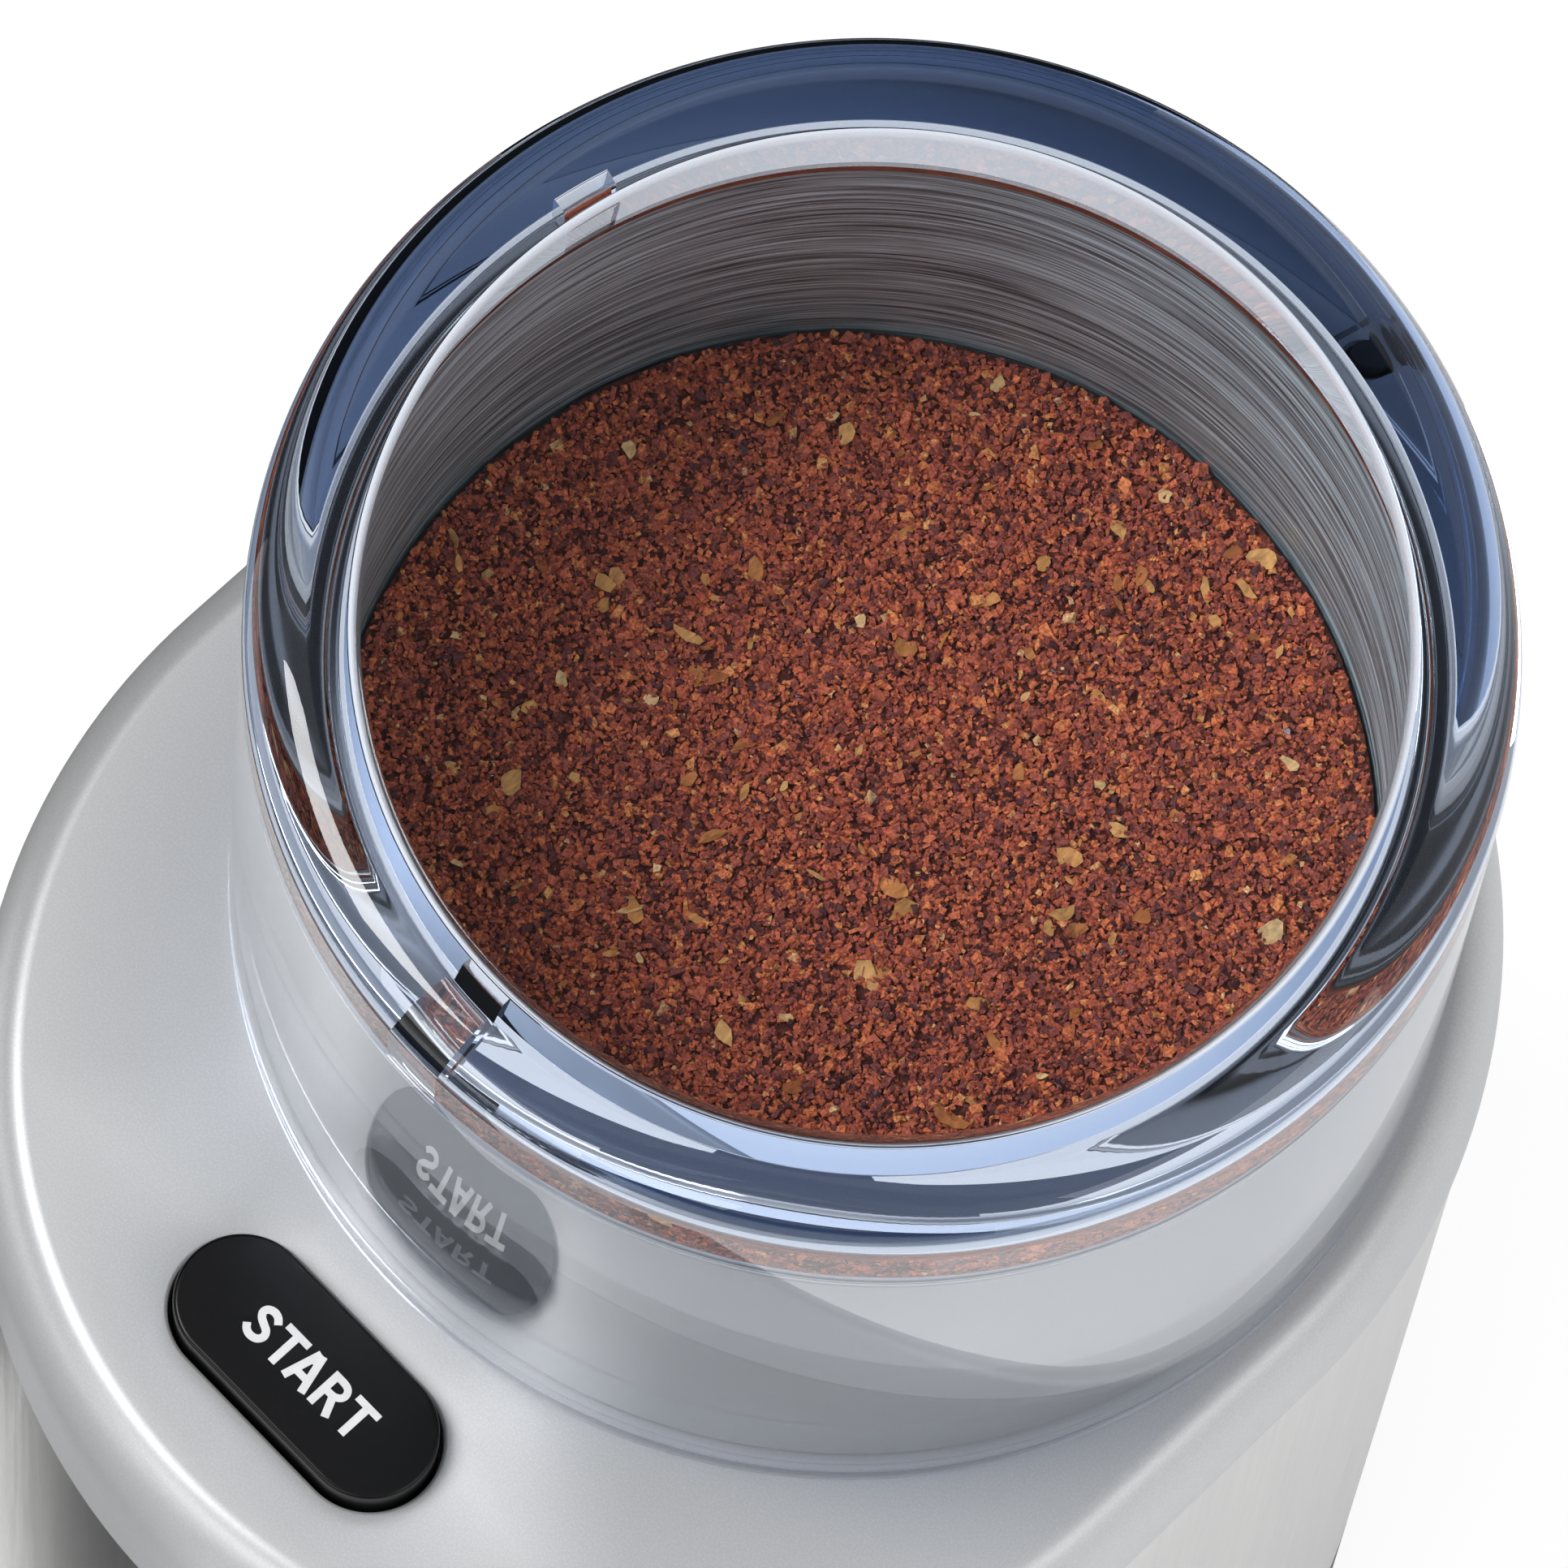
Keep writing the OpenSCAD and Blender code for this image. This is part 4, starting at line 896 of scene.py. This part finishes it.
def add_world():
    """White behind the object; round it a bright room, dark to the left and in the lid's mirror."""
    world = bpy.data.worlds.new("studio")
    bpy.context.scene.world = world
    world.use_nodes = True
    tree = world.node_tree
    nodes, links = tree.nodes, tree.links

    def node(kind, inputs, **attributes):
        made = nodes.new(kind)
        for key, value in attributes.items():
            setattr(made, key, value)
        for key, value in inputs.items():
            if isinstance(value, bpy.types.NodeSocket):
                links.new(value, made.inputs[key])
            else:
                made.inputs[key].default_value = value
        return made.outputs

    def span(value, low, high, to_low, to_high):
        values = {"Value": value, "From Min": low, "From Max": high,
                  "To Min": to_low, "To Max": to_high}
        return node("ShaderNodeMapRange", values, interpolation_type="SMOOTHSTEP")["Result"]

    def product(a, b, operation="MULTIPLY"):
        return node("ShaderNodeMath", {0: a, 1: b}, operation=operation)[0]

    way = node("ShaderNodeTexCoord", {})["Generated"]
    parts = node("ShaderNodeSeparateXYZ", {"Vector": way})
    near = node("ShaderNodeVectorMath", {0: way, 1: MIRROR_WAY},
                operation="DOT_PRODUCT")["Value"]
    hole = span(near, HOLE_OUTER, HOLE_INNER, 1.0, HOLE_LEVEL)
    low_left = span(parts["X"], -0.60, 0.10, LEFT_LEVEL, 1.0)
    left = product(low_left, span(parts["Z"], 0.45, 0.80, 0.0, 1.0), "MAXIMUM")
    height = span(parts["Z"], 0.15, 0.75, HORIZON_LEVEL, TOP_LEVEL)
    level = product(product(height, left), hole)
    seen = node("ShaderNodeLightPath", {})
    soft = span(seen["Is Diffuse Ray"], 0.0, 1.0, 1.0, MATT_LEVEL)
    room = node("ShaderNodeBackground", {
        "Color": (0.97, 0.98, 1.0, 1), "Strength": product(level, soft)})[0]
    white = node("ShaderNodeBackground", {"Color": (1, 1, 1, 1), "Strength": 1.0})[0]
    mixed = node("ShaderNodeMixShader", {0: seen["Is Camera Ray"], 1: room, 2: white})[0]
    links.new(mixed, nodes["World Output"].inputs["Surface"])


def add_flag(name, colour, foot, near, far, away, high, turn, hidden):
    """A dark card, lying and then standing, seen only by rays that a surface has already mirrored."""
    m = Mat(name, Roughness=1.0)
    m.bsdf.inputs["Base Color"].default_value = colour
    m.bsdf.inputs["Specular IOR Level"].default_value = 0.0
    clear = m.add("ShaderNodeBsdfTransparent")
    path = m.add("ShaderNodeLightPath")
    turned = m.calc("GREATER_THAN", path.outputs["Glossy Depth"], 0.5)
    both = m.add("ShaderNodeMixShader", {0: turned, 1: clear.outputs[0], 2: m.bsdf.outputs[0]})
    m.links.new(both.outputs[0], m.out.inputs["Surface"])
    low = 0.002
    corners = [(away, near, low), (away, far, low), (away, far, high), (away, near, high),
               (foot, near, low), (foot, far, low)]
    mesh = bpy.data.meshes.new(name)
    mesh.from_pydata([rot("Z", turn) @ Vector(c) for c in corners], [],
                     [(0, 1, 2, 3), (0, 4, 5, 1)])
    mesh.materials.append(m.mat)
    flag = bpy.data.objects.new(name, mesh)
    bpy.context.scene.collection.objects.link(flag)
    for ray in ("camera", "diffuse", "shadow", "volume_scatter", *hidden):
        setattr(flag, "visible_" + ray, False)


def add_floor():
    """A pale floor that shows the camera mostly white and keeps the object's shadow."""
    m = Mat("floor_white", Roughness=0.9)
    m.bsdf.inputs["Base Color"].default_value = (0.9, 0.9, 0.9, 1)
    m.bsdf.inputs["Specular IOR Level"].default_value = 0.0
    glow = m.add("ShaderNodeEmission", {"Color": (1, 1, 1, 1), "Strength": FLOOR_GLOW})
    path = m.add("ShaderNodeLightPath")
    seen = m.calc("MAXIMUM", path.outputs["Is Camera Ray"], path.outputs["Is Transmission Ray"])
    part = m.calc("MULTIPLY", seen, FLOOR_GLOW_PART)
    both = m.add("ShaderNodeMixShader", {0: part, 1: m.bsdf.outputs[0], 2: glow.outputs[0]})
    m.links.new(both.outputs[0], m.out.inputs["Surface"])
    mesh = bpy.data.meshes.new("floor")
    side = FLOOR_SIDE
    corners = [(-side, -side, 0), (side, -side, 0), (side, side, 0), (-side, side, 0)]
    mesh.from_pydata(corners, [], [(0, 1, 2, 3)])
    mesh.materials.append(m.mat)
    floor = bpy.data.objects.new("floor", mesh)
    bpy.context.scene.collection.objects.link(floor)


# ---------- assembly ----------

def finish_nodes():
    """Gives each CAD node that stays the finish of its slot."""
    finishes = {
        "silver_plastic": plain("silver_plastic", (0.55, 0.56, 0.58), 0.4, 0.4),
        "steel_sleeve": brushed("sleeve_steel_cad", 0.6, 0.3, (1, 1, 0.03)),
        "bowl_steel": brushed("bowl_steel_cad", 0.6, 0.25, (0.05, 0.05, 1)),
        "polished_steel": plain("polished_steel", (0.68, 0.68, 0.7), 0.16, 1.0, 900, 0.06),
        "clear_plastic": plain("clear_plastic_cad", (0.8, 0.82, 0.9), 0.1),
        "black_button": plain("black_button_cad", (0.008, 0.008, 0.009), 0.35),
        "black_plastic": plain("black_plastic", (0.018, 0.018, 0.02), 0.45, 0.0, 2600, 0.2,
                               0.00004),
        "pale_plastic": plain("pale_plastic", (0.62, 0.60, 0.53), 0.5, 0.0, 600, 0.06),
        "rubber": plain("rubber", (0.022, 0.022, 0.024), 0.8, 0.0, 1500, 0.25, 0.00006),
        "red_rubber": plain("red_rubber", (0.30, 0.028, 0.018), 0.6, 0.0, 900, 0.12),
        "iron_laminations": plain("iron_laminations", (0.30, 0.30, 0.31), 0.42, 0.9, 1400, 0.25,
                                  0.00005, (0.02, 0.02, 1)),
        "copper": plain("copper", (0.62, 0.24, 0.10), 0.3, 1.0, 1800, 0.2, 0.00008, (0.1, 0.1, 1)),
        "bronze": plain("bronze", (0.50, 0.31, 0.13), 0.45, 1.0, 1300, 0.2),
        "zinc_steel": plain("zinc_steel", (0.62, 0.63, 0.62), 0.32, 1.0, 240, 0.16),
        "carbon": plain("carbon", (0.03, 0.03, 0.032), 0.5, 0.1, 1200, 0.3),
        "screws": plain("screws", (0.55, 0.55, 0.54), 0.28, 1.0, 900, 0.12),
        "spice": plain("spice_cad", (0.12, 0.03, 0.013), 0.9),
    }
    slots = {row["node"]: row["material_slot"] for row in frame["record"]["subparts"]}
    for name, node in NODES.items():
        node.data.materials.clear()
        node.data.materials.append(finishes[slots.get(name, "silver_plastic")])
        node.data.shade_smooth()
        node.data.set_sharp_from_angle(angle=math.radians(30))


def place(obj, body, slot, *nodes):
    """Puts a visible piece on its body and hides the CAD nodes that it stands for; its slot is not
    used.
    """
    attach(obj, body)
    if nodes:
        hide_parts(*nodes)


SEED = 11
GRAINS, QUICK_GRAINS, GRAIN_SIZE = 60000, 26000, (0.24, 0.62)
FLAKES, FLAKE_SIZE = 190, (1.1, 2.6)


def main():
    scene = bpy.context.scene
    scene.view_settings.view_transform = "Standard"
    add_camera()
    finish_nodes()
    silver = paint_silver()
    place(build_deck(silver), "base", "silver_plastic", "deck_cover")
    sleeve_steel = brushed("sleeve_steel", 0.60, 0.30, (1, 1, 0.02), 1100,
                           tint=(1.0, 0.99, 0.96))
    place(build_sleeve(sleeve_steel), "base", "steel_sleeve", "housing_sleeve")
    place(build_button(black_button()), "start_button", "black_button", "start_button")
    place(build_legend(legend_grey(), button_high[2]), "start_button", "black_button")
    place(build_lid(clear_plastic()), "lid", "clear_plastic", "lid")
    # The liner's cool tint is painted: it cancels the reddish reflection of the spice in the steel
    # wall.
    liner_steel = brushed("liner_steel", 0.45, 0.44, (0.02, 0.02, 1), 1700, 0.00003, 0.66,
                          anisotropic=0.6, tint=(0.83, 1.04, 1.08), reach=0.10)
    jacket_steel = brushed("jacket_steel", 0.27, 0.42, (0.03, 0.03, 1), 900, 0.000003, 0.05,
                           strength=0.1, tint=(1.0, 0.985, 0.955), coat=2.0)
    rim_steel = brushed("rim_steel", 0.44, 0.09, (0.03, 0.03, 1), 900, 0.000003, 0.06,
                        strength=0.1)
    liner, rim, jacket = build_bowl(liner_steel, rim_steel, jacket_steel)
    place(liner, "bowl", "bowl_steel", "bowl_liner")
    place(rim, "bowl", "bowl_steel")
    place(jacket, "bowl", "bowl_steel", "bowl_jacket")
    place(build_spice(spice_bed_painted_shade()), "bowl", "spice", "ground_spice")
    rng = np.random.default_rng(SEED)
    count = GRAINS
    grains = scatter_grains("spice_grains", count, GRAIN_SIZE, spice_grain(), rng, SPICE_R - 0.35)
    place(grains, "bowl", "spice")
    chaff = scatter_chaff("spice_flakes", FLAKES, FLAKE_SIZE, spice_chaff(), rng, SPICE_R - 1.2)
    place(chaff, "bowl", "spice")
    add_world()
    add_lamp("top", (-0.54, -0.50, 1.22), (0, 0, 0.18), (0.55, 0.55), 13)
    add_lamp("front", (0.10, -1.15, 0.50), (0, 0, 0.16), (1.1, 0.5), 4.5)
    add_lamp("right", (1.15, 0.10, 0.65), (0, 0, 0.16), (0.9, 0.6), 3)
    add_flag("flag_left", BLACK_CARD, -0.06, -0.12, 0.7, -0.32, 0.45, 0.0, ("transmission",))
    add_flag("flag_front", BLACK_CARD, 0.07, -0.25, -0.01, 0.4, 0.003, FRONT_TURN,
             ("transmission",))
    add_flag("flag_near", NAVY_CARD, 0.26, -0.45, 0.45, 0.95, 0.34, NEAR_TURN, ())
    add_floor()


main()
